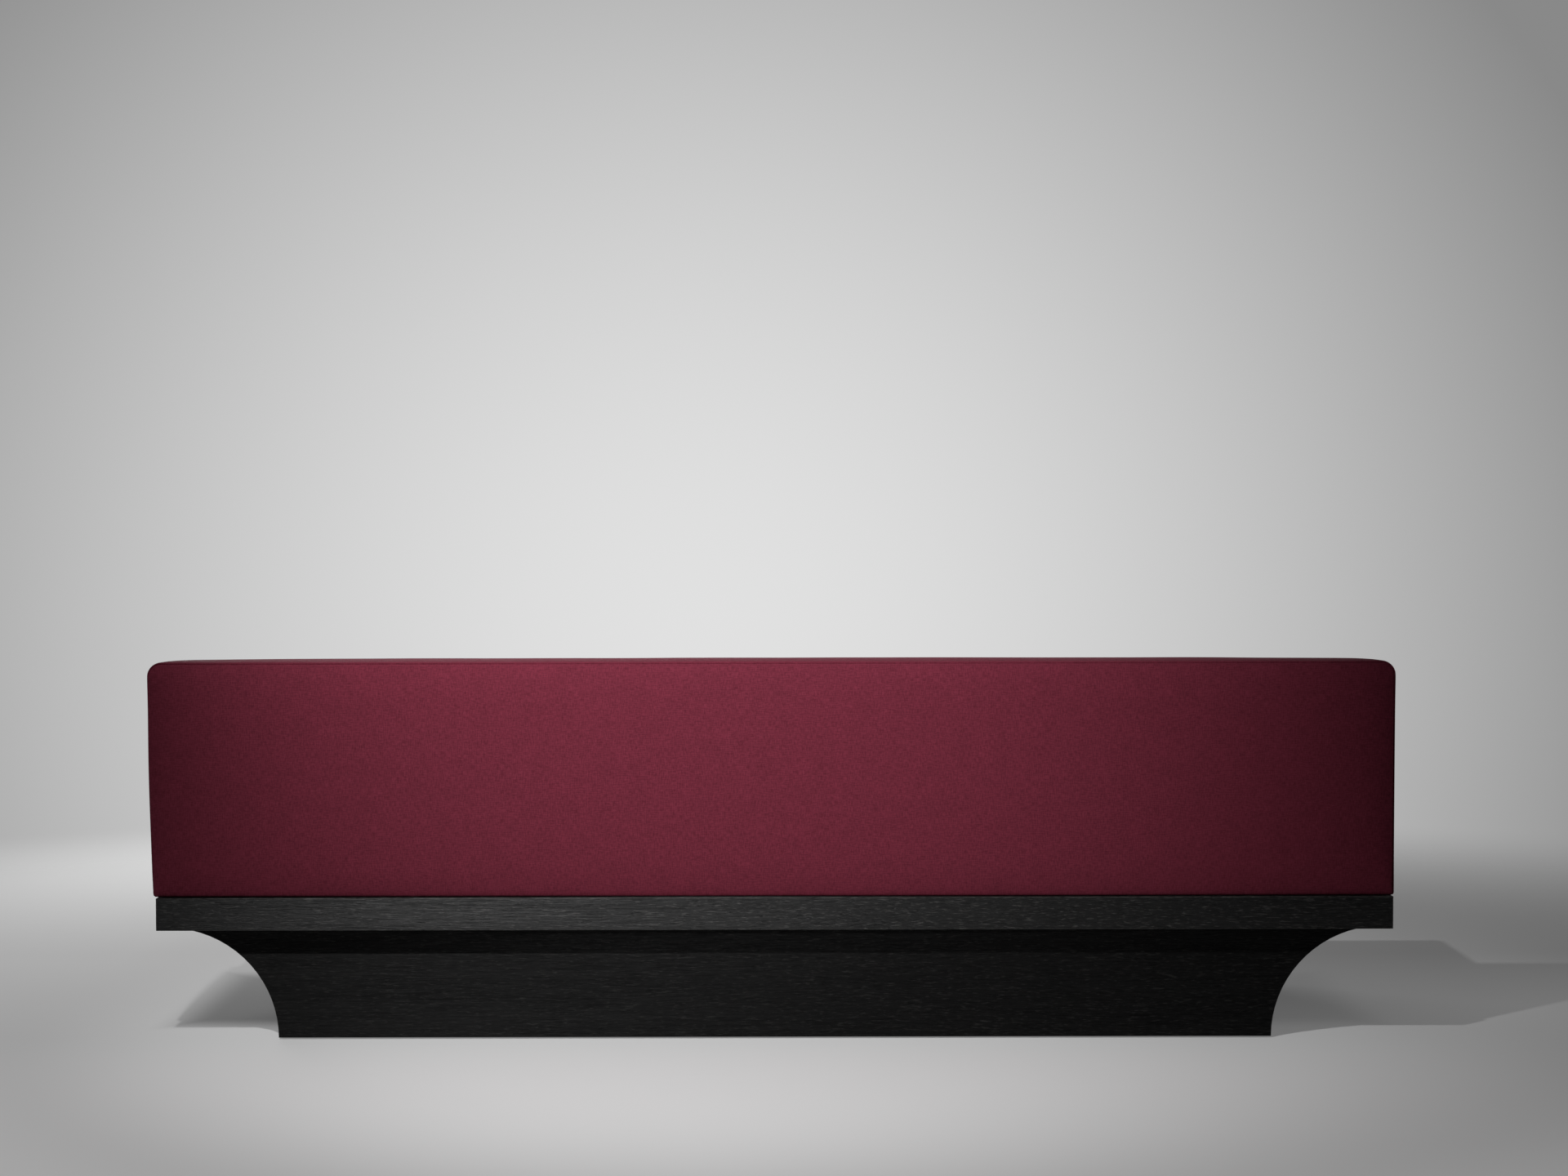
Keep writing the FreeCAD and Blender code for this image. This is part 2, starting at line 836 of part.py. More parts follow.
def seat_cross_rails():
    """Cross rails, tenoned into the long rails and standing on the deck where the bolts pull them down."""
    half = seat_cross_width / 2
    holes = [barrel_hole(x, y, deck_top, seat_nut_face) for x, y in seat_bolt_places]
    rim = cover_turn_in + panel_clearance
    form = seat_form()
    y_foot = form["y_front"](0) + rim, form["y_back"](0) - rim
    rails = []
    for x in core_rib_places:
        body = joined([
            block(x - half, x + half, seat_inner_front_y, seat_inner_back_y, frame_bottom, seat_nut_face),
            block(x - half, x + half, *y_foot, deck_top, frame_bottom),
            seat_tenon(x, seat_inner_front_y - tenon_length, seat_inner_back_y + tenon_length, 0),
        ])
        rails.append(drilled(body, holes))
    return rails


def seat_corner_blocks():
    """Glued triangles in the frame's four corners."""
    x, yf, yb = seat_frame_x - seat_rail_thickness, seat_inner_front_y, seat_inner_back_y
    leg = corner_block_leg
    blocks = []
    for sx in (-1, 1):
        for y, sy in ((yf, 1), (yb, -1)):
            ring = [
                Vector(sx * x, y, frame_bottom),
                Vector(sx * (x - leg), y, frame_bottom),
                Vector(sx * x, y + sy * leg, frame_bottom),
                Vector(sx * x, y, frame_bottom),
            ]
            blocks.append(Part.Face(Part.makePolygon(ring)).extrude(Vector(0, 0, seat_rail_height)))
    return blocks


spring_z = seat_nut_face + clip_gauge + clip_clearance + spring_wire_radius
clip_ring_radius = spring_wire_radius + clip_clearance + clip_gauge
felt_bottom = spring_z + clip_ring_radius + soft_clearance
felt_top = felt_bottom + felt_thickness
spring_front_y = seat_frame_front_y + seat_rail_thickness / 2
spring_back_y = seat_frame_back_y - seat_rail_thickness / 2


def spring_places():
    """Springs share the bays between the frame's ends and its cross rails."""
    end = seat_frame_x - seat_rail_thickness
    half = seat_cross_width / 2
    starts = [-end] + [x + half for x in core_rib_places]
    stops = [x - half for x in core_rib_places] + [end]
    shares = [(k + 0.5) / springs_per_bay for k in range(springs_per_bay)]
    return [a + (b - a) * share for a, b in zip(starts, stops) for share in shares]


def zigzag_spring(x):
    """A flat sinuous spring: bars across, joined by half-round bends, from clip to clip."""
    span = spring_back_y - spring_front_y
    bends = 2 * int(span / (4 * spring_bend_radius)) + 1
    pitch = span / bends
    radius = pitch / 2
    half = spring_half_width - radius
    edges = []
    for k in range(bends + 1):
        y = spring_front_y + k * pitch
        way = 1 if k % 2 == 0 else -1
        start, stop = Vector(x - way * half, y, spring_z), Vector(x + way * half, y, spring_z)
        edges.append(line(start, stop))
        if k < bends:
            crest = Vector(x + way * (half + radius), y + radius, spring_z)
            edges.append(arc(stop, crest, Vector(x + way * half, y + pitch, spring_z)))
    path = Part.Wire(edges)
    start = Vector(x - half, spring_front_y, spring_z)
    wire = Part.Wire(Part.Circle(start, Vector(1, 0, 0), spring_wire_radius).toShape())
    return path.makePipeShell([wire], True, False)


def spring_clip(x, y, inward):
    """A tab on the rail rolled into an eye round the spring's end bar."""
    x0 = x - clip_length / 2
    eye = Part.makeCylinder(clip_ring_radius, clip_length, Vector(x0, y, spring_z), Vector(1, 0, 0))
    y0, y1 = sorted((y - inward * clip_tab, y))
    tab = block(x0, x0 + clip_length, y0, y1, seat_nut_face, seat_nut_face + clip_gauge)
    bore_radius = spring_wire_radius + clip_clearance
    bore = Part.makeCylinder(bore_radius, clip_length, Vector(x0, y, spring_z), Vector(1, 0, 0))
    return joined([eye, tab]).cut(bore)


def spring_clips():
    clips = []
    for x in spring_places():
        clips.append(spring_clip(x, spring_front_y, 1))
        clips.append(spring_clip(x, spring_back_y, -1))
    return clips


def seat_felt():
    return block(-seat_frame_x, seat_frame_x, seat_frame_front_y, seat_frame_back_y, felt_bottom, felt_top)


def seat_foam():
    gap = soft_clearance
    space = block(
        -seat_frame_x - gap, seat_frame_x + gap, seat_frame_front_y - gap, seat_frame_back_y + gap,
        0, felt_top + gap
    )
    return pillow(seat_form(), fabric_thickness + soft_clearance).cut(space)


# The whole assembly, one entry for each named piece or group of like pieces

def assembly():
    nodes = dict(deck_rails())
    nodes["deck_mitre_splines"] = [spline_box(sx, sy, 0) for sx in (-1, 1) for sy in (-1, 1)]
    nodes["deck_core_ribs"] = core_ribs()
    nodes["deck_top_panel"] = deck_panel(core_top, deck_top)
    wood_holes = [wood_screw_hole(x, y) for x, y in batten_screw_places()]
    nodes["deck_bottom_panel"] = drilled(deck_panel(deck_bottom, core_bottom), wood_holes)

    nodes["plinth_front_panel"] = plinth_panel(-1)
    nodes["plinth_back_panel"] = plinth_panel(1)
    cove = cove_panel()
    nodes["plinth_right_cove"] = cove
    nodes["plinth_left_cove"] = mirrored_x(cove)
    formers = [cove_former(y) for y in spread(2, former_spacing)]
    nodes["cove_formers"] = formers + [mirrored_x(f) for f in formers]
    nodes["plinth_ribs"] = plinth_ribs()
    nodes["plinth_battens"] = battens()
    nodes["batten_screws"] = wood_screws()

    nodes["leveller_blocks"] = [leveller_block(x, y) for x, y in leveller_places]
    nodes["leveller_tee_nuts"] = [tee_nut(x, y, block_bottom, True, screw_radius) for x, y in leveller_places]
    for i, (x, y) in enumerate(leveller_places, 1):
        nodes[f"leveller_pad_{i}"] = leveller_pad(x, y)
        nodes[f"leveller_screw_{i}"] = leveller_screw(x, y)

    nodes["back_bottom_rail"] = back_bottom_rail()
    nodes["back_top_rail"] = back_top_rail()
    nodes["back_posts"] = back_posts()
    nodes["back_skin_panel"] = back_skin_panel()
    nodes["back_webbing"] = back_webbing()
    nodes["back_front_foam"], nodes["back_wrap_foam"] = back_foams()
    nodes["back_cover"] = cover(back_form())
    nodes["back_bolts"] = [deck_bolt(x, y, back_nut_face) for x, y in back_bolt_places]
    nodes["back_washers"] = [deck_washer(x, y) for x, y in back_bolt_places]
    nodes["back_tee_nuts"] = [tee_nut(x, y, back_nut_face, False, bolt_radius) for x, y in back_bolt_places]

    nodes["seat_front_rail"] = seat_long_rail(seat_frame_front_y)
    nodes["seat_back_rail"] = seat_long_rail(seat_inner_back_y)
    nodes["seat_end_rails"] = seat_end_rails()
    nodes["seat_cross_rails"] = seat_cross_rails()
    nodes["seat_corner_blocks"] = seat_corner_blocks()
    nodes["seat_springs"] = [zigzag_spring(x) for x in spring_places()]
    nodes["spring_clips"] = spring_clips()
    nodes["seat_felt"] = seat_felt()
    nodes["seat_foam"] = seat_foam()
    nodes["seat_cover"] = cover(seat_form())
    nodes["seat_bolts"] = [deck_bolt(x, y, seat_nut_face) for x, y in seat_bolt_places]
    nodes["seat_washers"] = [deck_washer(x, y) for x, y in seat_bolt_places]
    nodes["seat_tee_nuts"] = [tee_nut(x, y, seat_nut_face, False, bolt_radius) for x, y in seat_bolt_places]
    return nodes


def main():
    os.makedirs("parts", exist_ok=True)
    for name, made in assembly().items():
        shape = Part.makeCompound(made) if isinstance(made, list) else made
        count = len(shape.Solids)
        print(f"{name:22s} solids {count:3d} valid {shape.isValid()} volume {shape.Volume / 1e6:9.4f} litres")
        shape.exportStep(f"parts/{name}.step")


main()
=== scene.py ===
import math
from types import SimpleNamespace

import bmesh
import bpy
import numpy as np
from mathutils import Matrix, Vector, noise


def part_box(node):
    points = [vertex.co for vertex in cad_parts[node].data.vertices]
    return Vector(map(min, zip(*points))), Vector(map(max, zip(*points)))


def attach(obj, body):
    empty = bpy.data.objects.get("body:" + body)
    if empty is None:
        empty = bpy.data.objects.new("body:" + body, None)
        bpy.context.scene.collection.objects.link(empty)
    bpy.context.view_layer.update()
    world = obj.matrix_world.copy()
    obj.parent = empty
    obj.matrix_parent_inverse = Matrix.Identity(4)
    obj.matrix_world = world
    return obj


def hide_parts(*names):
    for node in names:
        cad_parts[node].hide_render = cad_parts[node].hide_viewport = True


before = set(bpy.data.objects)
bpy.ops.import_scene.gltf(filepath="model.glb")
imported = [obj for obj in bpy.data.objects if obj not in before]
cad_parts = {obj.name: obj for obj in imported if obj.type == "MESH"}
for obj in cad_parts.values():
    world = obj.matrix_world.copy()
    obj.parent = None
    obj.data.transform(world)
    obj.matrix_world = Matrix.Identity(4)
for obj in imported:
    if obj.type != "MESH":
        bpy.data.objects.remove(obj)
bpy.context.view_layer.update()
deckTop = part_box("deck_back_rail")[1].z
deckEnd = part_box("deck_right_rail")[1].x
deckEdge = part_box("deck_back_rail")[1].y
axisX, axisY, axisZ = Vector((1, 0, 0)), Vector((0, 1, 0)), Vector((0, 0, 1))
print("frame loaded,", len(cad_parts), "CAD nodes, deck top at", round(deckTop, 4))


# small helpers for working by hand

nearly = {"straight": 0.99, "facing": 0.985, "flat": 0.9999}   # as cosines


def clearSelection():
    if bpy.context.object and bpy.context.object.mode != "OBJECT":
        bpy.ops.object.mode_set(mode="OBJECT")
    bpy.ops.object.select_all(action="DESELECT")


def makeActive(piece):
    clearSelection()
    piece.select_set(True)
    bpy.context.view_layer.objects.active = piece


def startEdit(piece, kind):
    makeActive(piece)
    bpy.ops.object.mode_set(mode="EDIT")
    bpy.ops.mesh.select_mode(type=kind)
    bpy.ops.mesh.select_all(action="DESELECT")
    return bmesh.from_edit_mesh(piece.data)


def endEdit():
    bpy.ops.object.mode_set(mode="OBJECT")


def addBlock(name, low, high):
    clearSelection()
    low, high = Vector(low), Vector(high)
    bpy.ops.mesh.primitive_cube_add(size=1, location=(low + high) / 2, scale=high - low)
    piece = bpy.context.object
    piece.name = name
    bpy.ops.object.transform_apply(location=True, rotation=True, scale=True)
    return piece


def moveCorners(piece, isWanted, offset):
    mesh = startEdit(piece, "VERT")
    for vert in mesh.verts:
        vert.select_set(isWanted(vert.co))
    mesh.select_flush_mode()
    bmesh.update_edit_mesh(piece.data)
    bpy.ops.transform.translate(value=offset)
    endEdit()


def roundEdges(piece, isWanted, radius, steps):
    mesh = startEdit(piece, "EDGE")
    mesh.normal_update()
    for edge in mesh.edges:
        edge.select_set(isWanted(edge))
    bmesh.update_edit_mesh(piece.data)
    bpy.ops.mesh.bevel(offset=radius, offset_type="OFFSET", segments=steps, profile=0.5, affect="EDGES")
    endEdit()


def runsAlong(edge, axis):
    way = edge.verts[1].co - edge.verts[0].co
    return abs(way.dot(axis)) > nearly["straight"] * way.length


def boundsFace(edge, normal):
    # True where one side of the edge faces that way and the other does not
    facing = [face.normal.dot(normal) > nearly["facing"] for face in edge.link_faces]
    return any(facing) and not all(facing)


def insetFace(piece, normal, width):
    # a close loop inside the flat face that looks that way
    mesh = startEdit(piece, "FACE")
    mesh.normal_update()
    for face in mesh.faces:
        face.select_set(face.normal.dot(normal) > nearly["flat"])
    bmesh.update_edit_mesh(piece.data)
    bpy.ops.mesh.inset(thickness=width, depth=0.0)
    endEdit()


def evenCuts(first, last, step, axis):
    # points and normals of planes across the axis, about a step apart
    count = max(1, round((last - first) / step))
    return [(axis * (first + (last - first) * i / count), axis) for i in range(count + 1)]


def slicePiece(piece, cuts):
    startEdit(piece, "VERT")
    for point, normal in cuts:
        bpy.ops.mesh.select_all(action="SELECT")
        bpy.ops.mesh.bisect(plane_co=point, plane_no=normal)
    endEdit()


def readPoints(piece):
    points = np.zeros(len(piece.data.vertices) * 3)
    piece.data.vertices.foreach_get("co", points)
    return points.reshape(-1, 3)


def readNormals(piece):
    normals = np.zeros(len(piece.data.vertices) * 3, np.float32)
    piece.data.vertex_normals.foreach_get("vector", normals)
    return normals.reshape(-1, 3).astype(float)


def writePoints(piece, points):
    piece.data.vertices.foreach_set("co", points.astype(np.float32).ravel())
    piece.data.update()


def applyModifier(piece, name):
    makeActive(piece)
    bpy.ops.object.modifier_apply(modifier=name)


def ramp(values, low, high):
    share = np.clip((values - low) / (high - low), 0, 1)
    return share * share * (3 - 2 * share)


def lookShare(normals, way):
    # how squarely each point looks that way, 0 to 1
    return np.clip(normals @ np.array(way), 0, 1) ** 2


# what both covers share

coverMaking = {
    "lift": 0.0003,                                  # clear of the deck
    "footHold": 1.05,                                # times the foot's radius, held still
    "rippleFrom": 0.004, "rippleFull": 0.030,        # heights above the deck
    "frames": 20, "quality": 6,                      # of the cloth simulation
    "quickShare": 0.7,                               # a share of the swell
    "leastCap": 1e-6, "leastMove": 1e-9,             # so that nothing is divided by zero
}


def runCloth(piece, isHeld, pressure):
    # gives how far each point moves under air pressure, and leaves the piece as it was
    held = piece.vertex_groups.new(name="held")
    held.add([int(i) for i in np.nonzero(isHeld)[0]], 1.0, "REPLACE")
    cloth = piece.modifiers.new("cloth", "CLOTH")
    cloth.settings.quality = coverMaking["quality"]
    cloth.settings.use_pressure = True
    cloth.settings.uniform_pressure_force = pressure
    cloth.settings.effector_weights.gravity = 0
    cloth.settings.vertex_group_mass = "held"
    cloth.collision_settings.use_collision = False
    cloth.point_cache.frame_end = coverMaking["frames"]
    for step in range(1, coverMaking["frames"] + 1):
        bpy.context.scene.frame_set(step)
    start = readPoints(piece)
    shaped = piece.evaluated_get(bpy.context.evaluated_depsgraph_get())
    push = readPoints(shaped) - start
    piece.modifiers.remove(cloth)
    bpy.context.scene.frame_set(1)
    return push


def swellCover(piece, isHeld, swell, pressure):
    # cloth swells between its seams; swell gives the most that each point may move
    start = readPoints(piece)
    push = runCloth(piece, isHeld, pressure)
    length = np.linalg.norm(push, axis=1)
    limit = np.maximum(swell, coverMaking["leastCap"])
    share = limit * np.tanh(length / limit) / np.maximum(length, coverMaking["leastMove"])
    writePoints(piece, start + push * share[:, None])
    print(piece.name, "cloth moved up to", round(float(length.max()) * 1000, 1), "mm, kept",
          round(float((length * share).max()) * 1000, 1), "mm")


def sinkSeam(piece, seam, depth):
    points, normals = readPoints(piece), readNormals(piece)
    points[seam] -= normals[seam] * depth
    writePoints(piece, points)


def finishCover(piece, size):
    smooth = piece.modifiers.new("smooth", "SUBSURF")
    smooth.levels = smooth.render_levels = size["levels"]
    applyModifier(piece, "smooth")
    points, normals = readPoints(piece), readNormals(piece)
    lift = np.array([noise.noise(Vector(p) / size["rippleSize"]) for p in points]) * size["ripple"]
    lift *= ramp(points[:, 2], deckTop + coverMaking["rippleFrom"], deckTop + coverMaking["rippleFull"])
    writePoints(piece, points + normals * lift[:, None])
    makeActive(piece)
    bpy.ops.object.shade_smooth()
    startEdit(piece, "FACE")
    bpy.ops.mesh.select_all(action="SELECT")
    bpy.ops.uv.cube_project(cube_size=1.0, correct_aspect=False, clip_to_bounds=False, scale_to_bounds=False)
    endEdit()
    print(piece.name, "finished with", len(piece.data.polygons), "faces")


# upholstered back: one sewn cover, raked at the front, with rounded upper corners

backCushion = {
    "overTopRight": 0.018, "overFootRight": 0.009,   # past the deck's +X end, at the top and at the deck
    "overTopLeft": 0.007, "overFootLeft": 0.0055,
    "drawCurve": 3.2, "drawZone": 0.15,              # how late and how near the ends they draw in
    "reveal": 0.011,                                 # deck edge left bare behind it
    "depthTop": 0.161, "depthFoot": 0.201, "riseTop": 0.006,
    "topFall": 0.0032, "endFall": 0.0046, "endCurve": 4,   # fall of the top to the front, extra at the ends
    "cornerRadius": 0.028, "cornerSteps": 6,
    "footRadius": 0.004, "footSteps": 2, "footTouch": 0.001,
    "edgeRadius": 0.010, "edgeSteps": 8, "faceRing": 0.006, "bandMargin": 0.004,
    "grid": 0.033,
    "seamDepth": 0.0062, "seamStart": 0.004,         # it starts above the rounded foot
    "seamFacing": (0.65, 0.79),                      # the middle of a rounded rim, as cosines
    "rearSwell": 0.006, "frontSwell": 0.014, "topSwell": 0.003, "endSwell": 0.003,
    "seatFade": 0.06,                                # height over which the front comes free of the seat
    "pressure": 4.0, "ripple": 0.0006, "rippleSize": 0.16, "levels": 2,
}


def backPlaces(size):
    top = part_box("back_cover")[1].z + size["riseTop"]
    foot = deckTop + coverMaking["lift"]
    rear = deckEdge - size["reveal"]
    frontFoot, frontTop = rear - size["depthFoot"], rear - size["depthTop"]
    left, right = -deckEnd - size["overTopLeft"], deckEnd + size["overTopRight"]
    rake = frontTop - frontFoot
    return SimpleNamespace(
        top=top, foot=foot, waist=(foot + top) / 2, rear=rear, frontFoot=frontFoot, frontTop=frontTop,
        left=left, right=right, middle=(left + right) / 2, half=(right - left) / 2, rake=rake,
        frontNormal=Vector((0, foot - top, rake)).normalized())


def blockBack(size, at):
    piece = addBlock("backCushion", (at.left, at.frontFoot, at.foot), (at.right, at.rear, at.top))
    midDepth = (at.frontFoot + at.rear) / 2
    moveCorners(piece, lambda p: p.z > at.waist and p.y < midDepth, (0, at.rake, 0))

    def isLow(edge):
        return all(vert.co.z < at.foot + size["footTouch"] for vert in edge.verts)

    def isEndCorner(edge):
        atEnd = all(abs(vert.co.x - at.middle) > at.half / 2 for vert in edge.verts)
        return atEnd and runsAlong(edge, axisY) and not isLow(edge)

    def isRim(edge):
        return (boundsFace(edge, axisY) or boundsFace(edge, at.frontNormal)) and not isLow(edge)

    roundEdges(piece, isEndCorner, size["cornerRadius"], size["cornerSteps"])
    roundEdges(piece, isRim, size["edgeRadius"], size["edgeSteps"])
    roundEdges(piece, lambda e: boundsFace(e, -axisZ), size["footRadius"], size["footSteps"])
    insetFace(piece, axisY, size["faceRing"])
    insetFace(piece, at.frontNormal, size["faceRing"])
    return piece


def sliceBack(piece, size, at):
    # grid lines over the faces and along the band between them
    corner, bandEdge = size["cornerRadius"], size["edgeRadius"] + size["bandMargin"]
    slicePiece(piece, evenCuts(at.left + corner, at.right - corner, size["grid"], axisX)
               + evenCuts(at.foot + size["edgeRadius"], at.top - corner, size["grid"], axisZ)
               + evenCuts(at.frontTop + bandEdge, at.rear - bandEdge, size["grid"], axisY))


def findBackSeam(piece, size, at):
    normals = readNormals(piece)
    facing = np.maximum(normals @ np.array(axisY), normals @ np.array(at.frontNormal))
    low, high = size["seamFacing"]
    return (facing > low) & (facing < high)


def shapeBack(piece, size, at):
    points = readPoints(piece)
    # the ends draw in towards the deck
    fall = np.clip((at.top - points[:, 2]) / (at.top - at.foot), 0, 1) ** size["drawCurve"]
    fromMiddle = points[:, 0] - at.middle
    drawRight = size["overTopRight"] - size["overFootRight"]
    drawLeft = size["overFootLeft"] - size["overTopLeft"]
    draw = np.where(fromMiddle > 0, drawRight, drawLeft)
    points[:, 0] -= draw * fall * ramp(np.abs(fromMiddle), at.half - size["drawZone"], at.half)
    # and the top slopes a little to the front, most at the ends
    endShare = np.abs((points[:, 0] - at.middle) / at.half) ** size["endCurve"]
    forward = np.clip((at.rear - points[:, 1]) / size["depthTop"], 0, 1)
    slope = size["topFall"] + size["endFall"] * endShare
    points[:, 2] -= slope * forward * ramp(points[:, 2], at.waist, at.top)
    writePoints(piece, points)


def backSwell(piece, size, at):
    # most at the front, and least where the seat covers it
    heights, normals = readPoints(piece)[:, 2], readNormals(piece)
    front = lookShare(normals, at.frontNormal)
    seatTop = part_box("seat_cover")[1].z
    clearOfSeat = ramp(heights, seatTop, seatTop + size["seatFade"])
    return (lookShare(normals, axisY) * size["rearSwell"] + front * size["frontSwell"] * clearOfSeat
            + lookShare(normals, axisZ) * (1 - front) * size["topSwell"]
            + normals[:, 0] ** 2 * size["endSwell"])


def makeBackCushion(size, at):
    piece = blockBack(size, at)
    sliceBack(piece, size, at)
    seam = findBackSeam(piece, size, at)
    shapeBack(piece, size, at)
    heights = readPoints(piece)[:, 2] - at.foot
    seam &= heights > size["footRadius"] + size["seamStart"]
    isFoot = heights <= size["footRadius"] * coverMaking["footHold"]
    swellCover(piece, seam | isFoot, backSwell(piece, size, at), size["pressure"])
    sinkSeam(piece, seam, size["seamDepth"])
    finishCover(piece, size)
    return piece


# bench seat: a boxed cover over foam, its rear edge raked to meet the back

seatCushion = {
    "overTop": 0.009, "overFoot": 0.003,
    "reveal": 0.011, "backGap": 0.004, "crownRoom": 0.013,
    "cornerRadius": 0.036, "cornerSteps": 6, "rearRadius": 0.012, "rearSteps": 3,
    "edgeRadius": 0.014, "edgeSteps": 4, "footRadius": 0.008, "footSteps": 3,
    "grid": 0.030, "gridMargin": 0.02,
    "seamBelow": 0.003, "seamTouch": 0.0003,         # below the rounded edge
    "seamSide": 0.0026, "seamSteps": (-1, 0, 1, 3),  # loops beside the seam
    "seamDepth": 0.0028,
    "topSwell": 0.015, "frontSwell": 0.007, "endSwell": 0.003,
    "backSwellShare": 0.25, "backFade": (0.06, 0.005),   # next to the back
    "pressure": 4.0, "ripple": 0.0009, "rippleSize": 0.17, "levels": 2,
}


def seatPlaces(size, back):
    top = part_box("seat_cover")[1].z - size["crownRoom"]
    foot = deckTop + coverMaking["lift"]
    rearFoot = back.frontFoot - size["backGap"]
    slope = back.rake / (back.top - back.foot)
    return SimpleNamespace(
        top=top, foot=foot, waist=(foot + top) / 2, front=-deckEdge + size["reveal"], rearFoot=rearFoot,
        rearTop=rearFoot + slope * (top - foot), end=deckEnd + size["overTop"],
        seamHeight=top - size["edgeRadius"] - size["seamBelow"])


def blockSeat(size, at):
    piece = addBlock("seatCushion", (-at.end, at.front, at.foot), (at.end, at.rearFoot, at.top))
    moveCorners(piece, lambda p: p.z > at.waist and p.y > 0, (0, at.rearTop - at.rearFoot, 0))
    draw = size["overTop"] - size["overFoot"]
    moveCorners(piece, lambda p: p.z < at.waist and p.x > 0, (-draw, 0, 0))
    moveCorners(piece, lambda p: p.z < at.waist and p.x < 0, (draw, 0, 0))

    def isPost(edge):
        return abs(edge.verts[0].co.z - edge.verts[1].co.z) > (at.top - at.foot) / 2

    def isFrontPost(edge):
        return isPost(edge) and edge.verts[0].co.y < 0

    def isRearPost(edge):
        return isPost(edge) and all(vert.co.y > 0 for vert in edge.verts)

    roundEdges(piece, isFrontPost, size["cornerRadius"], size["cornerSteps"])
    roundEdges(piece, isRearPost, size["rearRadius"], size["rearSteps"])
    roundEdges(piece, lambda e: boundsFace(e, axisZ), size["edgeRadius"], size["edgeSteps"])
    roundEdges(piece, lambda e: boundsFace(e, -axisZ), size["footRadius"], size["footSteps"])
    return piece


def sliceSeat(piece, size, at):
    corner, margin = size["cornerRadius"], size["gridMargin"]
    seamLoops = [(axisZ * (at.seamHeight - step * size["seamSide"]), axisZ) for step in size["seamSteps"]]
    slicePiece(piece, evenCuts(corner - at.end, at.end - corner, size["grid"], axisX)
               + evenCuts(at.front + corner, at.rearFoot - size["rearRadius"], size["grid"], axisY)
               + evenCuts(at.foot + margin, at.seamHeight - margin, size["grid"], axisZ) + seamLoops)


def seatSwell(piece, size, at):
    points, normals = readPoints(piece), readNormals(piece)
    fadeFrom, fadeTo = (at.rearTop - gap for gap in size["backFade"])
    clearOfBack = 1 - ramp(points[:, 1], fadeFrom, fadeTo)
    topShare = size["backSwellShare"] + (1 - size["backSwellShare"]) * clearOfBack
    return (lookShare(normals, axisZ) * size["topSwell"] * topShare
            + lookShare(normals, -axisY) * size["frontSwell"] + normals[:, 0] ** 2 * size["endSwell"])


def makeSeatCushion(size, back):
    at = seatPlaces(size, back)
    piece = blockSeat(size, at)
    sliceSeat(piece, size, at)
    heights = readPoints(piece)[:, 2]
    seam = np.abs(heights - at.seamHeight) < size["seamTouch"]
    isFoot = heights <= at.foot + size["footRadius"] * coverMaking["footHold"]
    swellCover(piece, seam | isFoot, seatSwell(piece, size, at), size["pressure"])
    sinkSeam(piece, seam, size["seamDepth"])
    finishCover(piece, size)
    return piece


# foam under the covers, merged copies of the CAD solids drawn in until the cover clears them

foamCore = {                                         # node, cover
    "seatFoam": ("seat_foam", "seatCushion"),
    "backFrontFoam": ("back_front_foam", "backCushion"),
    "backWrapFoam": ("back_wrap_foam", "backCushion"),
}
foamFit = {
    "merge": 0.00002, "drawIn": 0.007, "clear": 0.005, "smoothAngle": 35.0, "gridMargin": 0.02,
    "grid": (0.060, 0.040, 0.040),                   # along X, Y and Z
}


def makeFoam(name, node, cover, size):
    piece = bpy.data.objects.new(name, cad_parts[node].data.copy())
    bpy.context.scene.collection.objects.link(piece)
    startEdit(piece, "VERT")
    bpy.ops.mesh.select_all(action="SELECT")
    bpy.ops.mesh.remove_doubles(threshold=size["merge"])
    bpy.ops.transform.shrink_fatten(value=-size["drawIn"])
    endEdit()
    low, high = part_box(node)
    cuts = []
    for i, axis in enumerate((axisX, axisY, axisZ)):
        cuts += evenCuts(low[i] + size["gridMargin"], high[i] - size["gridMargin"], size["grid"][i], axis)
    slicePiece(piece, cuts)
    inside = piece.modifiers.new("inside", "SHRINKWRAP")
    inside.target = bpy.data.objects[cover]
    inside.wrap_method = "NEAREST_SURFACEPOINT"
    inside.wrap_mode = "INSIDE"
    inside.offset = size["clear"]
    applyModifier(piece, "inside")
    bpy.ops.object.shade_smooth_by_angle(angle=math.radians(size["smoothAngle"]))
    return piece


backAt = backPlaces(backCushion)
backPiece = makeBackCushion(backCushion, backAt)
seatPiece = makeSeatCushion(seatCushion, backAt)
foamPieces = [makeFoam(name, node, cover, foamFit) for name, (node, cover) in foamCore.items()]
print("soft pieces made")


# shader nodes

vectorKind, floatKind = "NodeSocketVector", "NodeSocketFloat"


def newGroup(name, inputs, outputs):
    group = bpy.data.node_groups.new(name, "ShaderNodeTree")
    for label, kind in inputs.items():
        group.interface.new_socket(name=label, in_out="INPUT", socket_type=kind)
    for label in outputs:
        group.interface.new_socket(name=label, in_out="OUTPUT", socket_type=floatKind)
    return group, group.nodes.new("NodeGroupInput").outputs, group.nodes.new("NodeGroupOutput").inputs


def plug(tree, value, socket):
    if isinstance(value, bpy.types.NodeSocket):
        tree.links.new(value, socket)
    elif value is not None:
        socket.default_value = value


def calc(tree, operation, a, b=None):
    node = tree.nodes.new("ShaderNodeMath")
    node.operation = operation
    plug(tree, a, node.inputs[0])
    plug(tree, b, node.inputs[1])
    return node.outputs[0]


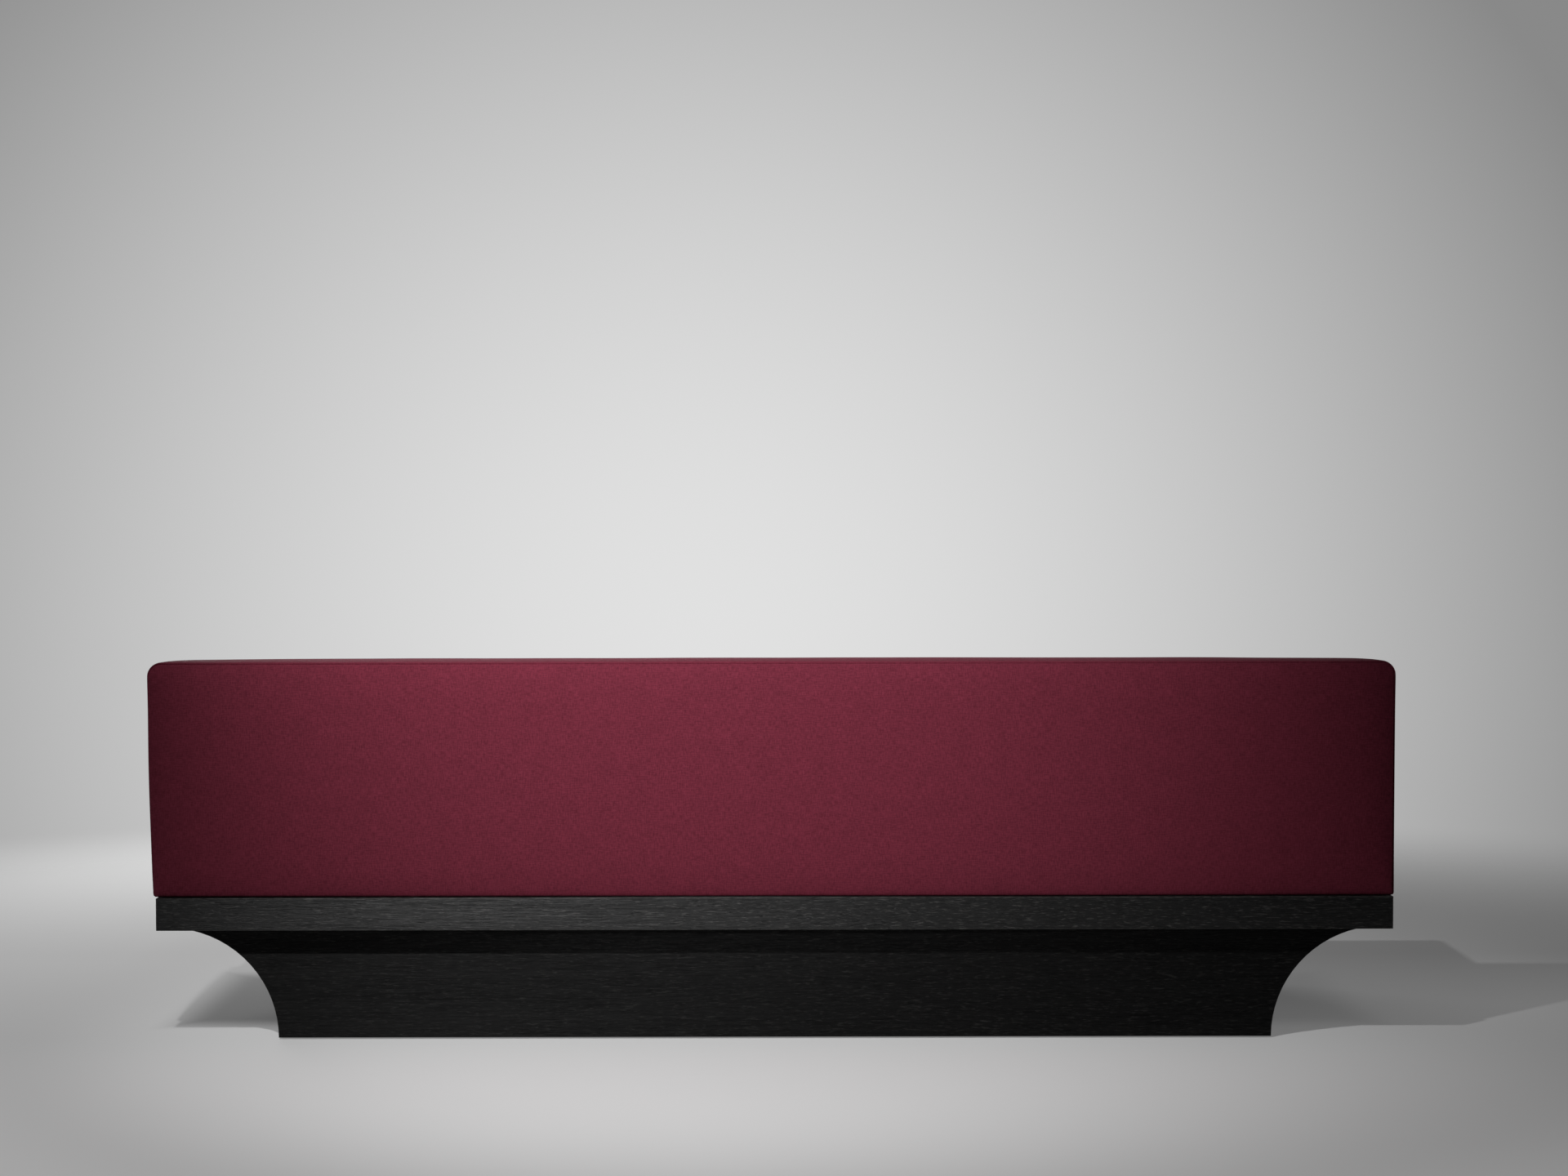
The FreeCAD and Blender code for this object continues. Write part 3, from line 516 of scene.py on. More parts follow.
def vectorCalc(tree, operation, a, b=None):
    node = tree.nodes.new("ShaderNodeVectorMath")
    node.operation = operation
    plug(tree, a, node.inputs[0])
    plug(tree, b, node.inputs[1])
    isNumber = operation in ("DOT_PRODUCT", "DISTANCE", "LENGTH")
    return node.outputs["Value" if isNumber else "Vector"]


def splitVector(tree, vector):
    node = tree.nodes.new("ShaderNodeSeparateXYZ")
    plug(tree, vector, node.inputs[0])
    return node.outputs


def joinVector(tree, x=None, y=None, z=None):
    node = tree.nodes.new("ShaderNodeCombineXYZ")
    for value, socket in zip((x, y, z), node.inputs):
        plug(tree, value, socket)
    return node.outputs[0]


def noiseAt(tree, vector, scale, detail=3.0, rough=0.55):
    node = tree.nodes.new("ShaderNodeTexNoise")
    plug(tree, vector, node.inputs["Vector"])
    plug(tree, scale, node.inputs["Scale"])
    node.inputs["Detail"].default_value = detail
    node.inputs["Roughness"].default_value = rough
    return node.outputs["Fac"]


def stretchedNoise(tree, vector, scales, detail=3.0, rough=0.55):
    return noiseAt(tree, vectorCalc(tree, "MULTIPLY", vector, scales), 1.0, detail, rough)


def remap(tree, value, fromLow, fromHigh, toLow=0.0, toHigh=1.0, ease="LINEAR"):
    node = tree.nodes.new("ShaderNodeMapRange")
    node.interpolation_type = ease
    plug(tree, value, node.inputs["Value"])
    plug(tree, fromLow, node.inputs["From Min"])
    plug(tree, fromHigh, node.inputs["From Max"])
    plug(tree, toLow, node.inputs["To Min"])
    plug(tree, toHigh, node.inputs["To Max"])
    return node.outputs["Result"]


def mixColour(tree, factor, a, b):
    node = tree.nodes.new("ShaderNodeMix")
    node.data_type = "RGBA"
    plug(tree, factor, node.inputs[0])
    plug(tree, a, node.inputs[6])
    plug(tree, b, node.inputs[7])
    return node.outputs[2]


def blendShares(tree, a, b, share):
    return calc(tree, "ADD", calc(tree, "MULTIPLY", a, share), calc(tree, "MULTIPLY", b, 1.0 - share))


def dimmed(colour, share):
    return tuple(c * share for c in colour[:3]) + (1,)


def useGroup(tree, group, values):
    node = tree.nodes.new("ShaderNodeGroup")
    node.node_tree = group
    for label, value in values.items():
        plug(tree, value, node.inputs[label])
    return node.outputs


# plain weave: warp and weft threads over and under, each slightly uneven

clothWeave = {
    "wanderScale": 55.0, "wander": 0.35,             # how far the threads stray, in threads
    "fibreScale": 1700.0, "fibreHeight": 0.7,
    "slubAcross": 520.0, "slubAlong": 85.0,          # thick and thin lengths of yarn, running both ways
}


def makeWeaveGroup(look):
    group, given, result = newGroup(
        "clothWeave", {"Vector": vectorKind, "Thread": floatKind}, ("Height", "Slub", "Fibre"))
    wander = calc(group, "SUBTRACT", noiseAt(group, given["Vector"], look["wanderScale"], 2.0), 0.5)
    wander = calc(group, "MULTIPLY", wander, look["wander"])
    place = splitVector(group, given["Vector"])
    u = calc(group, "ADD", calc(group, "DIVIDE", place["X"], given["Thread"]), wander)
    v = calc(group, "ADD", calc(group, "DIVIDE", place["Y"], given["Thread"]), wander)
    warp = calc(group, "ABSOLUTE", calc(group, "SINE", calc(group, "MULTIPLY", u, math.pi)))
    weft = calc(group, "ABSOLUTE", calc(group, "SINE", calc(group, "MULTIPLY", v, math.pi)))
    cell = calc(group, "ADD", calc(group, "FLOOR", u), calc(group, "FLOOR", v))
    over = calc(group, "FLOORED_MODULO", cell, 2.0)
    under = calc(group, "SUBTRACT", 1.0, over)
    height = calc(group, "ADD", calc(group, "MULTIPLY", warp, over), calc(group, "MULTIPLY", weft, under))
    fibre = noiseAt(group, given["Vector"], look["fibreScale"], 2.0, 0.7)
    height = calc(group, "ADD", height, calc(group, "MULTIPLY", fibre, look["fibreHeight"]))
    across, along = look["slubAcross"], look["slubAlong"]
    warpSlub = stretchedNoise(group, given["Vector"], (across, along, 1.0), 2.0, 0.6)
    weftSlub = stretchedNoise(group, given["Vector"], (along, across, 1.0), 2.0, 0.6)
    plug(group, height, result["Height"])
    plug(group, blendShares(group, warpSlub, weftSlub, 0.5), result["Slub"])
    plug(group, fibre, result["Fibre"])
    return group


# straight grain along X of the vector it is given: streaks, growth bands, open pores and pale rays

woodGrain = {                                        # scales along and across the grain
    "drift": (1.1, 9.0, 9.0), "driftReach": 0.02,
    "streaks": (13.0, 300.0, 300.0), "bands": (0.9, 38.0, 38.0), "streakShare": 0.7,
    "pores": (32.0, 560.0, 560.0), "poreRange": (0.55, 0.67),
    "rays": (60.0, 430.0, 430.0), "rayRange": (0.56, 0.70), "rayShift": (3.7, 1.9, 5.3),
    "figureRange": (0.34, 0.66), "figureHeight": 0.5,
}


def makeGrainGroup(look):
    group, given, result = newGroup(
        "woodGrain", {"Vector": vectorKind}, ("Figure", "Pores", "Rays", "Height"))
    drift = stretchedNoise(group, given["Vector"], look["drift"], 2.0)
    drift = calc(group, "MULTIPLY", drift, look["driftReach"])
    line = vectorCalc(group, "ADD", given["Vector"], joinVector(group, y=drift, z=drift))
    streaks = stretchedNoise(group, line, look["streaks"], 4.0, 0.65)
    bands = stretchedNoise(group, line, look["bands"])
    pores = remap(group, stretchedNoise(group, line, look["pores"], 2.0, 0.6), *look["poreRange"])
    rayLine = vectorCalc(group, "ADD", line, look["rayShift"])
    rays = remap(group, stretchedNoise(group, rayLine, look["rays"], 2.0, 0.6), *look["rayRange"])
    figure = remap(group, blendShares(group, streaks, bands, look["streakShare"]), *look["figureRange"])
    height = calc(group, "SUBTRACT", calc(group, "MULTIPLY", figure, look["figureHeight"]), pores)
    plug(group, figure, result["Figure"])
    plug(group, pores, result["Pores"])
    plug(group, rays, result["Rays"])
    plug(group, height, result["Height"])
    return group


# mask along arrises, broken up so that it never runs evenly; the lighter colour it brings is wear and a
# painted highlight

arrisWearAndHighlight = {"samples": 4, "edgeRange": (0.995, 0.90), "patchScale": 90.0, "patchRange": (0.34, 0.58)}


def makeWearAndHighlightGroup(look):
    group, given, result = newGroup("arrisWearAndHighlight", {"Vector": vectorKind, "Radius": floatKind}, ("WearAndHighlight",))
    bevel = group.nodes.new("ShaderNodeBevel")
    bevel.samples = look["samples"]
    plug(group, given["Radius"], bevel.inputs["Radius"])
    flat = group.nodes.new("ShaderNodeNewGeometry").outputs["Normal"]
    edge = remap(group, vectorCalc(group, "DOT_PRODUCT", bevel.outputs["Normal"], flat), *look["edgeRange"])
    broken = remap(group, noiseAt(group, given["Vector"], look["patchScale"], 4.0), *look["patchRange"])
    plug(group, calc(group, "MULTIPLY", edge, broken), result["WearAndHighlight"])
    return group


softMottle = {"range": (0.3, 0.7), "fineScale": 24.0}   # fine cells to a coarse one


def makeMottleGroup(look):
    group, given, result = newGroup(
        "softMottle", {"Vector": vectorKind, "Scale": floatKind}, ("Coarse", "Fine"))
    coarse = noiseAt(group, given["Vector"], given["Scale"], 4.0)
    fine = noiseAt(group, given["Vector"], calc(group, "MULTIPLY", given["Scale"], look["fineScale"]), 3.0)
    plug(group, remap(group, coarse, *look["range"]), result["Coarse"])
    plug(group, remap(group, fine, *look["range"]), result["Fine"])
    return group


weaveGroup = makeWeaveGroup(clothWeave)
grainGroup = makeGrainGroup(woodGrain)
wearAndHighlightGroup = makeWearAndHighlightGroup(arrisWearAndHighlight)
mottleGroup = makeMottleGroup(softMottle)
print("node groups made")


# materials

def startMaterial(name):
    material = bpy.data.materials.new(name)
    material.use_nodes = True
    tree = material.node_tree
    tree.nodes.clear()
    shader = tree.nodes.new("ShaderNodeBsdfPrincipled")
    output = tree.nodes.new("ShaderNodeOutputMaterial")
    tree.links.new(shader.outputs[0], output.inputs["Surface"])
    return material, tree, shader.inputs


def objectVector(tree, turn=(0.0, 0.0, 0.0)):
    coords = tree.nodes.new("ShaderNodeTexCoord")
    mapping = tree.nodes.new("ShaderNodeMapping")
    tree.links.new(coords.outputs["Object"], mapping.inputs["Vector"])
    mapping.inputs["Rotation"].default_value = turn
    return mapping.outputs[0]


def addBump(tree, shader, height, strength, distance):
    bump = tree.nodes.new("ShaderNodeBump")
    bump.inputs["Strength"].default_value = strength
    bump.inputs["Distance"].default_value = distance
    plug(tree, height, bump.inputs["Height"])
    plug(tree, bump.outputs[0], shader["Normal"])


burgundyCloth = {
    "deep": (0.118, 0.0124, 0.0262, 1), "plain": (0.196, 0.0250, 0.0486, 1),
    "pale": (0.285, 0.0485, 0.0828, 1),
    "thread": 0.0013, "weaveBump": 0.35, "weaveDepth": 0.0005, "slubRange": (0.385, 0.615),
    "paleRange": (0.5, 0.8), "paleShare": 0.42,      # fibres that catch the light
    "mottleScale": 26.0, "mottleShade": (0.93, 1.05),
    "fibreRange": (0.3, 0.7), "rough": (0.84, 0.96),
    "sheen": 0.04, "sheenRough": 0.45, "sheenTint": (0.80, 0.50, 0.56, 1), "specular": 0.2,
}


def makeCloth(name, look):
    material, tree, shader = startMaterial(name)
    uv = tree.nodes.new("ShaderNodeUVMap").outputs[0]
    weave = useGroup(tree, weaveGroup, {"Vector": uv, "Thread": look["thread"]})
    mottle = useGroup(tree, mottleGroup, {"Vector": uv, "Scale": look["mottleScale"]})
    colour = mixColour(tree, remap(tree, weave["Slub"], *look["slubRange"]), look["deep"], look["plain"])
    paleMask = calc(tree, "MULTIPLY", remap(tree, weave["Fibre"], *look["paleRange"]), look["paleShare"])
    colour = mixColour(tree, paleMask, colour, look["pale"])
    shade = remap(tree, mottle["Coarse"], 0.0, 1.0, *look["mottleShade"])
    plug(tree, vectorCalc(tree, "MULTIPLY", colour, shade), shader["Base Color"])
    plug(tree, remap(tree, weave["Fibre"], *look["fibreRange"], *look["rough"]), shader["Roughness"])
    shader["Sheen Weight"].default_value = look["sheen"]
    shader["Sheen Roughness"].default_value = look["sheenRough"]
    shader["Sheen Tint"].default_value = look["sheenTint"]
    shader["Specular IOR Level"].default_value = look["specular"]
    addBump(tree, shader, weave["Height"], look["weaveBump"], look["weaveDepth"])
    return material


alongX, alongY, alongZ = (0.0, 0.0, 0.0), (0.0, 0.0, math.pi / 2), (0.0, math.pi / 2, 0.0)

allWood = {"arris": 0.0018, "poreShare": 0.7, "poreTone": 0.35, "glossTurn": 0.25}
# deck rails: the pale worn colour along the arrises is wear and a painted highlight
solidOak = {
    "dark": (0.0024, 0.0024, 0.0025, 1), "light": (0.0098, 0.0097, 0.0096, 1),
    "fleck": (0.084, 0.081, 0.078, 1), "wornAndHighlight": (0.260, 0.246, 0.230, 1), "wearAndHighlight": 0.8, "rays": 0.7,
    "rough": (0.74, 0.42), "specular": 0.41, "acrossGrain": 0.72, "bump": 1.0, "depth": 0.0018,
}
# plinth panels: the same black oak as a veneer, its colours darkened partly as painted shade of the recess
# under the deck
shadedOakVeneer = {
    "dark": (0.0020, 0.0020, 0.0021, 1), "light": (0.0070, 0.0069, 0.0068, 1),
    "fleck": (0.042, 0.041, 0.039, 1), "wornAndHighlight": (0.034, 0.033, 0.032, 1), "wearAndHighlight": 0.4, "rays": 0.5,
    "rough": (0.72, 0.46), "specular": 0.14, "acrossGrain": 0.72, "bump": 0.9, "depth": 0.0014,
}
rawBeech = {
    "dark": (0.36, 0.225, 0.130, 1), "light": (0.55, 0.385, 0.250, 1), "fleck": (0.62, 0.47, 0.33, 1),
    "wornAndHighlight": (0.62, 0.47, 0.33, 1), "wearAndHighlight": 0.3, "rays": 0.5, "rough": (0.72, 0.55),
    "specular": 0.4, "acrossGrain": 0.0, "bump": 0.2, "depth": 0.0003,
}
birchPly = {
    "dark": (0.42, 0.29, 0.170, 1), "light": (0.60, 0.45, 0.300, 1), "fleck": (0.66, 0.52, 0.37, 1),
    "wornAndHighlight": (0.66, 0.52, 0.37, 1), "wearAndHighlight": 0.3, "rays": 0.3, "rough": (0.74, 0.58),
    "specular": 0.4, "acrossGrain": 0.0, "bump": 0.15, "depth": 0.0003,
}
blackBoard = {
    "dark": (0.010, 0.010, 0.010, 1), "light": (0.026, 0.025, 0.024, 1), "fleck": (0.070, 0.060, 0.050, 1),
    "wornAndHighlight": (0.070, 0.060, 0.050, 1), "wearAndHighlight": 0.4, "rays": 0.2, "rough": (0.75, 0.55),
    "specular": 0.3, "acrossGrain": 0.0, "bump": 0.2, "depth": 0.0004,
}


def makeWood(name, look, direction):
    material, tree, shader = startMaterial(name)
    vector = objectVector(tree, direction)
    grain = useGroup(tree, grainGroup, {"Vector": vector})
    wearAndHighlight = useGroup(tree, wearAndHighlightGroup, {"Vector": vector, "Radius": allWood["arris"]})
    colour = mixColour(tree, grain["Figure"], look["dark"], look["light"])
    pores = calc(tree, "MULTIPLY", grain["Pores"], allWood["poreShare"])
    colour = mixColour(tree, pores, colour, dimmed(look["dark"], allWood["poreTone"]))
    colour = mixColour(tree, calc(tree, "MULTIPLY", grain["Rays"], look["rays"]), colour, look["fleck"])
    # lighter along the arrises: wear and a painted highlight
    colour = mixColour(tree, calc(tree, "MULTIPLY", wearAndHighlight["WearAndHighlight"], look["wearAndHighlight"]), colour, look["wornAndHighlight"])
    plug(tree, colour, shader["Base Color"])
    plug(tree, remap(tree, grain["Figure"], 0.0, 1.0, *look["rough"]), shader["Roughness"])
    shader["Specular IOR Level"].default_value = look["specular"]
    shader["Anisotropic"].default_value = look["acrossGrain"]
    shader["Anisotropic Rotation"].default_value = allWood["glossTurn"]
    addBump(tree, shader, grain["Height"], look["bump"], look["depth"])
    return material


allPadding = {"fineShare": 0.7, "specular": 0.25, "bump": 0.4}
paddingFoam = {
    "a": (0.62, 0.55, 0.34, 1), "b": (0.76, 0.70, 0.50, 1), "cell": 420.0, "rough": (0.95, 0.83),
    "depth": 0.0008,
}
greyFelt = {
    "a": (0.16, 0.16, 0.165, 1), "b": (0.33, 0.33, 0.33, 1), "cell": 700.0, "rough": (0.97, 0.85),
    "depth": 0.0006,
}
blackStrap = {
    "a": (0.012, 0.012, 0.013, 1), "b": (0.045, 0.045, 0.047, 1), "cell": 900.0, "rough": (0.85, 0.73),
    "depth": 0.0005,
}
padNylon = {
    "a": (0.016, 0.016, 0.017, 1), "b": (0.034, 0.034, 0.035, 1), "cell": 300.0, "rough": (0.55, 0.43),
    "depth": 0.0002,
}


def makePadding(name, look):
    material, tree, shader = startMaterial(name)
    scale = look["cell"] / softMottle["fineScale"]
    mottle = useGroup(tree, mottleGroup, {"Vector": objectVector(tree), "Scale": scale})
    tint = blendShares(tree, mottle["Fine"], mottle["Coarse"], allPadding["fineShare"])
    plug(tree, mixColour(tree, tint, look["a"], look["b"]), shader["Base Color"])
    plug(tree, remap(tree, mottle["Fine"], 0.0, 1.0, *look["rough"]), shader["Roughness"])
    shader["Specular IOR Level"].default_value = allPadding["specular"]
    addBump(tree, shader, mottle["Fine"], allPadding["bump"], look["depth"])
    return material


allMetal = {"mottleScale": 60.0, "arris": 0.0006, "bump": 0.12, "depth": 0.0002}
springWire = {"a": (0.20, 0.20, 0.205, 1), "b": (0.34, 0.34, 0.345, 1), "rough": (0.30, 0.48)}
zincPlate = {"a": (0.50, 0.51, 0.53, 1), "b": (0.66, 0.67, 0.69, 1), "rough": (0.26, 0.44)}


def makeMetal(name, look):
    material, tree, shader = startMaterial(name)
    vector = objectVector(tree)
    mottle = useGroup(tree, mottleGroup, {"Vector": vector, "Scale": allMetal["mottleScale"]})
    wearAndHighlight = useGroup(tree, wearAndHighlightGroup, {"Vector": vector, "Radius": allMetal["arris"]})
    tint = calc(tree, "MAXIMUM", mottle["Coarse"], wearAndHighlight["WearAndHighlight"])
    plug(tree, mixColour(tree, tint, look["a"], look["b"]), shader["Base Color"])
    plug(tree, remap(tree, mottle["Fine"], 0.0, 1.0, *look["rough"]), shader["Roughness"])
    shader["Metallic"].default_value = 1.0
    addBump(tree, shader, mottle["Fine"], allMetal["bump"], allMetal["depth"])
    return material


clothFinish = makeCloth("burgundyWool", burgundyCloth)
oakX = makeWood("solidOakLong", solidOak, alongX)
oakY = makeWood("solidOakCross", solidOak, alongY)
# the plinth's oak, darkened partly as painted shade
shadedVeneerX = makeWood("shadedOakVeneerLong", shadedOakVeneer, alongX)
shadedVeneerY = makeWood("shadedOakVeneerCross", shadedOakVeneer, alongY)
beechX = makeWood("beechLong", rawBeech, alongX)
beechY = makeWood("beechCross", rawBeech, alongY)
beechZ = makeWood("beechUpright", rawBeech, alongZ)
plyX = makeWood("plywoodLong", birchPly, alongX)
plyY = makeWood("plywoodCross", birchPly, alongY)
boardX = makeWood("blackBoardLong", blackBoard, alongX)
foamFinish = makePadding("paleFoam", paddingFoam)
feltFinish = makePadding("needledFelt", greyFelt)
strapFinish = makePadding("elasticStrap", blackStrap)
nylonFinish = makePadding("blackNylon", padNylon)
springFinish = makeMetal("springWire", springWire)
zincFinish = makeMetal("zincPlate", zincPlate)
print("materials made")

feet = range(1, 7)
finishOf = {
    oakX: ["deck_front_rail", "deck_back_rail"],
    oakY: ["deck_left_rail", "deck_right_rail"],
    shadedVeneerX: ["plinth_front_panel", "plinth_back_panel"],
    shadedVeneerY: ["plinth_left_cove", "plinth_right_cove"],
    plyX: ["deck_top_panel", "back_skin_panel"],
    plyY: ["deck_core_ribs", "plinth_ribs", "cove_formers"],
    boardX: ["deck_bottom_panel"],
    beechX: ["deck_mitre_splines", "plinth_battens", "back_bottom_rail", "back_top_rail", "seat_front_rail",
             "seat_back_rail"],
    beechY: ["leveller_blocks", "seat_end_rails", "seat_cross_rails"],
    beechZ: ["back_posts", "seat_corner_blocks"],
    feltFinish: ["seat_felt"],
    strapFinish: ["back_webbing"],
    springFinish: ["seat_springs", "spring_clips"],
    zincFinish: ["batten_screws", "leveller_tee_nuts", "back_bolts", "back_washers", "back_tee_nuts",
                 "seat_bolts", "seat_washers", "seat_tee_nuts"] + [f"leveller_screw_{i}" for i in feet],
    nylonFinish: [f"leveller_pad_{i}" for i in feet],
}


def dress(piece, material):
    piece.data.materials.clear()
    piece.data.materials.append(material)


for material, names in finishOf.items():
    for name in names:
        dress(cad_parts[name], material)
for piece in (backPiece, seatPiece):
    dress(piece, clothFinish)
for piece in foamPieces:
    dress(piece, foamFinish)
    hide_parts(foamCore[piece.name][0])
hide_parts("back_cover")
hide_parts("seat_cover")
for piece in (backPiece, seatPiece, *foamPieces):
    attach(piece, "sofa")
print("finishes assigned, pieces ride on the sofa")


# studio: pale floor, backdrop, lamps and camera

def seenDirectly(tree):
    rays = tree.nodes.new("ShaderNodeLightPath").outputs
    shown = calc(tree, "MAXIMUM", rays["Is Camera Ray"], rays["Is Transmission Ray"])
    return calc(tree, "MAXIMUM", shown, rays["Is Glossy Ray"])


floorLook = {
    "size": 60.0, "colour": (0.55, 0.55, 0.55, 1), "mottleScale": 1.6, "mottleTone": 0.98,
    "rough": 0.9, "specular": 0.1,
    # painted light on the floor: from a place, to a place, and the level at each
    "paintedLightAcross": (-1.5, 1.5, 0.055, 0.14),          # along X
    "paintedLightNear": (-0.6, 1.6, 0.0, 0.195),             # along Y, towards the photo's camera
    "paintedLightMiddle": (0.0, 1.3, 0.035, 0.0),            # away from the middle, either way
    "cornerX": (0.6, 1.5), "cornerY": (0.3, -0.5, 0.0, 0.07),
    "under": (-1.0, 1.0, 0.8, 0.15),                 # share left under the deck, along X: painted shadow
    "underSoft": 0.06,
    "fade": (1.5, 3.4), "fadeShape": (0.8, 1.0, 1.0),   # into the backdrop
}


def paintedFloorLight(tree, vector, look):
    # painted light: a little of the backdrop's paleness emitted by the floor, more away from the shadow, on
    # the lamp's side and towards the camera
    place = splitVector(tree, vector)
    sideways = calc(tree, "ABSOLUTE", place["X"])
    paintedLight = remap(tree, place["X"], *look["paintedLightAcross"])
    paintedLight = calc(tree, "ADD", paintedLight, remap(tree, place["Y"], *look["paintedLightNear"]))
    paintedLight = calc(tree, "ADD", paintedLight, remap(tree, sideways, *look["paintedLightMiddle"], "SMOOTHSTEP"))
    corner = calc(tree, "MULTIPLY", remap(tree, place["X"], *look["cornerX"]),
                  remap(tree, place["Y"], *look["cornerY"]))
    paintedLight = calc(tree, "ADD", paintedLight, corner)
    # painted shadow: less of it under the deck, most of all on the lamp's side
    pastEnd = calc(tree, "SUBTRACT", sideways, deckEnd)
    pastNear = calc(tree, "SUBTRACT", place["Y"], deckEdge / 2)
    pastFar = calc(tree, "SUBTRACT", -deckEdge, place["Y"])
    past = calc(tree, "MAXIMUM", pastEnd, calc(tree, "MAXIMUM", pastNear, pastFar))
    under = remap(tree, place["X"], *look["under"])
    outside = remap(tree, past, -look["underSoft"], look["underSoft"], under, 1.0, "SMOOTHSTEP")
    return calc(tree, "MULTIPLY", paintedLight, outside)


def makeFloor(look):
    clearSelection()
    bpy.ops.mesh.primitive_plane_add(size=look["size"], location=(0, 0, 0))
    floor = bpy.context.object
    floor.name = "studioFloor"
    material, tree, shader = startMaterial("paleFloor")
    vector = objectVector(tree)
    mottle = useGroup(tree, mottleGroup, {"Vector": vector, "Scale": look["mottleScale"]})
    darker = dimmed(look["colour"], look["mottleTone"])
    plug(tree, mixColour(tree, mottle["Coarse"], darker, look["colour"]), shader["Base Color"])
    shader["Roughness"].default_value = look["rough"]
    shader["Specular IOR Level"].default_value = look["specular"]
    shader["Emission Color"].default_value = (1, 1, 1, 1)
    # painted light and shadow, emitted only for camera, glossy and transmission rays
    paintedLight = calc(tree, "MULTIPLY", paintedFloorLight(tree, vector, look), seenDirectly(tree))
    plug(tree, paintedLight, shader["Emission Strength"])
    # clear far out and from below
    far = vectorCalc(tree, "LENGTH", vectorCalc(tree, "MULTIPLY", vector, look["fadeShape"]))
    fade = remap(tree, far, *look["fade"], ease="SMOOTHSTEP")
    behind = tree.nodes.new("ShaderNodeNewGeometry").outputs["Backfacing"]
    clear = tree.nodes.new("ShaderNodeBsdfTransparent")
    mix = tree.nodes.new("ShaderNodeMixShader")
    output = next(n for n in tree.nodes if n.type == "OUTPUT_MATERIAL")
    lit = output.inputs["Surface"].links[0].from_socket
    plug(tree, calc(tree, "MAXIMUM", fade, behind), mix.inputs[0])
    plug(tree, lit, mix.inputs[1])
    plug(tree, clear.outputs[0], mix.inputs[2])
    plug(tree, mix.outputs[0], output.inputs["Surface"])
    dress(floor, material)


worldLook = {
    "middle": (0.033, 0.998, -0.05),                 # of the backdrop, as a direction
    "pale": (0.0, 0.63, 0.75, 0.02),                 # from the middle, out to, and the level at each
    "surround": 0.25,                                # least level
    "behind": (-0.3, 0.3, 0.0, 0.98),                # share hidden from gloss on the camera's side
    "fill": (0.25, -0.65, 0.038, 0.30), "fillAbove": (0.1, 0.7, 1.0, 0.3),
}


def whiteBackground(tree, strength):
    node = tree.nodes.new("ShaderNodeBackground")
    node.inputs["Color"].default_value = (1, 1, 1, 1)
    plug(tree, strength, node.inputs["Strength"])
    return node.outputs[0]


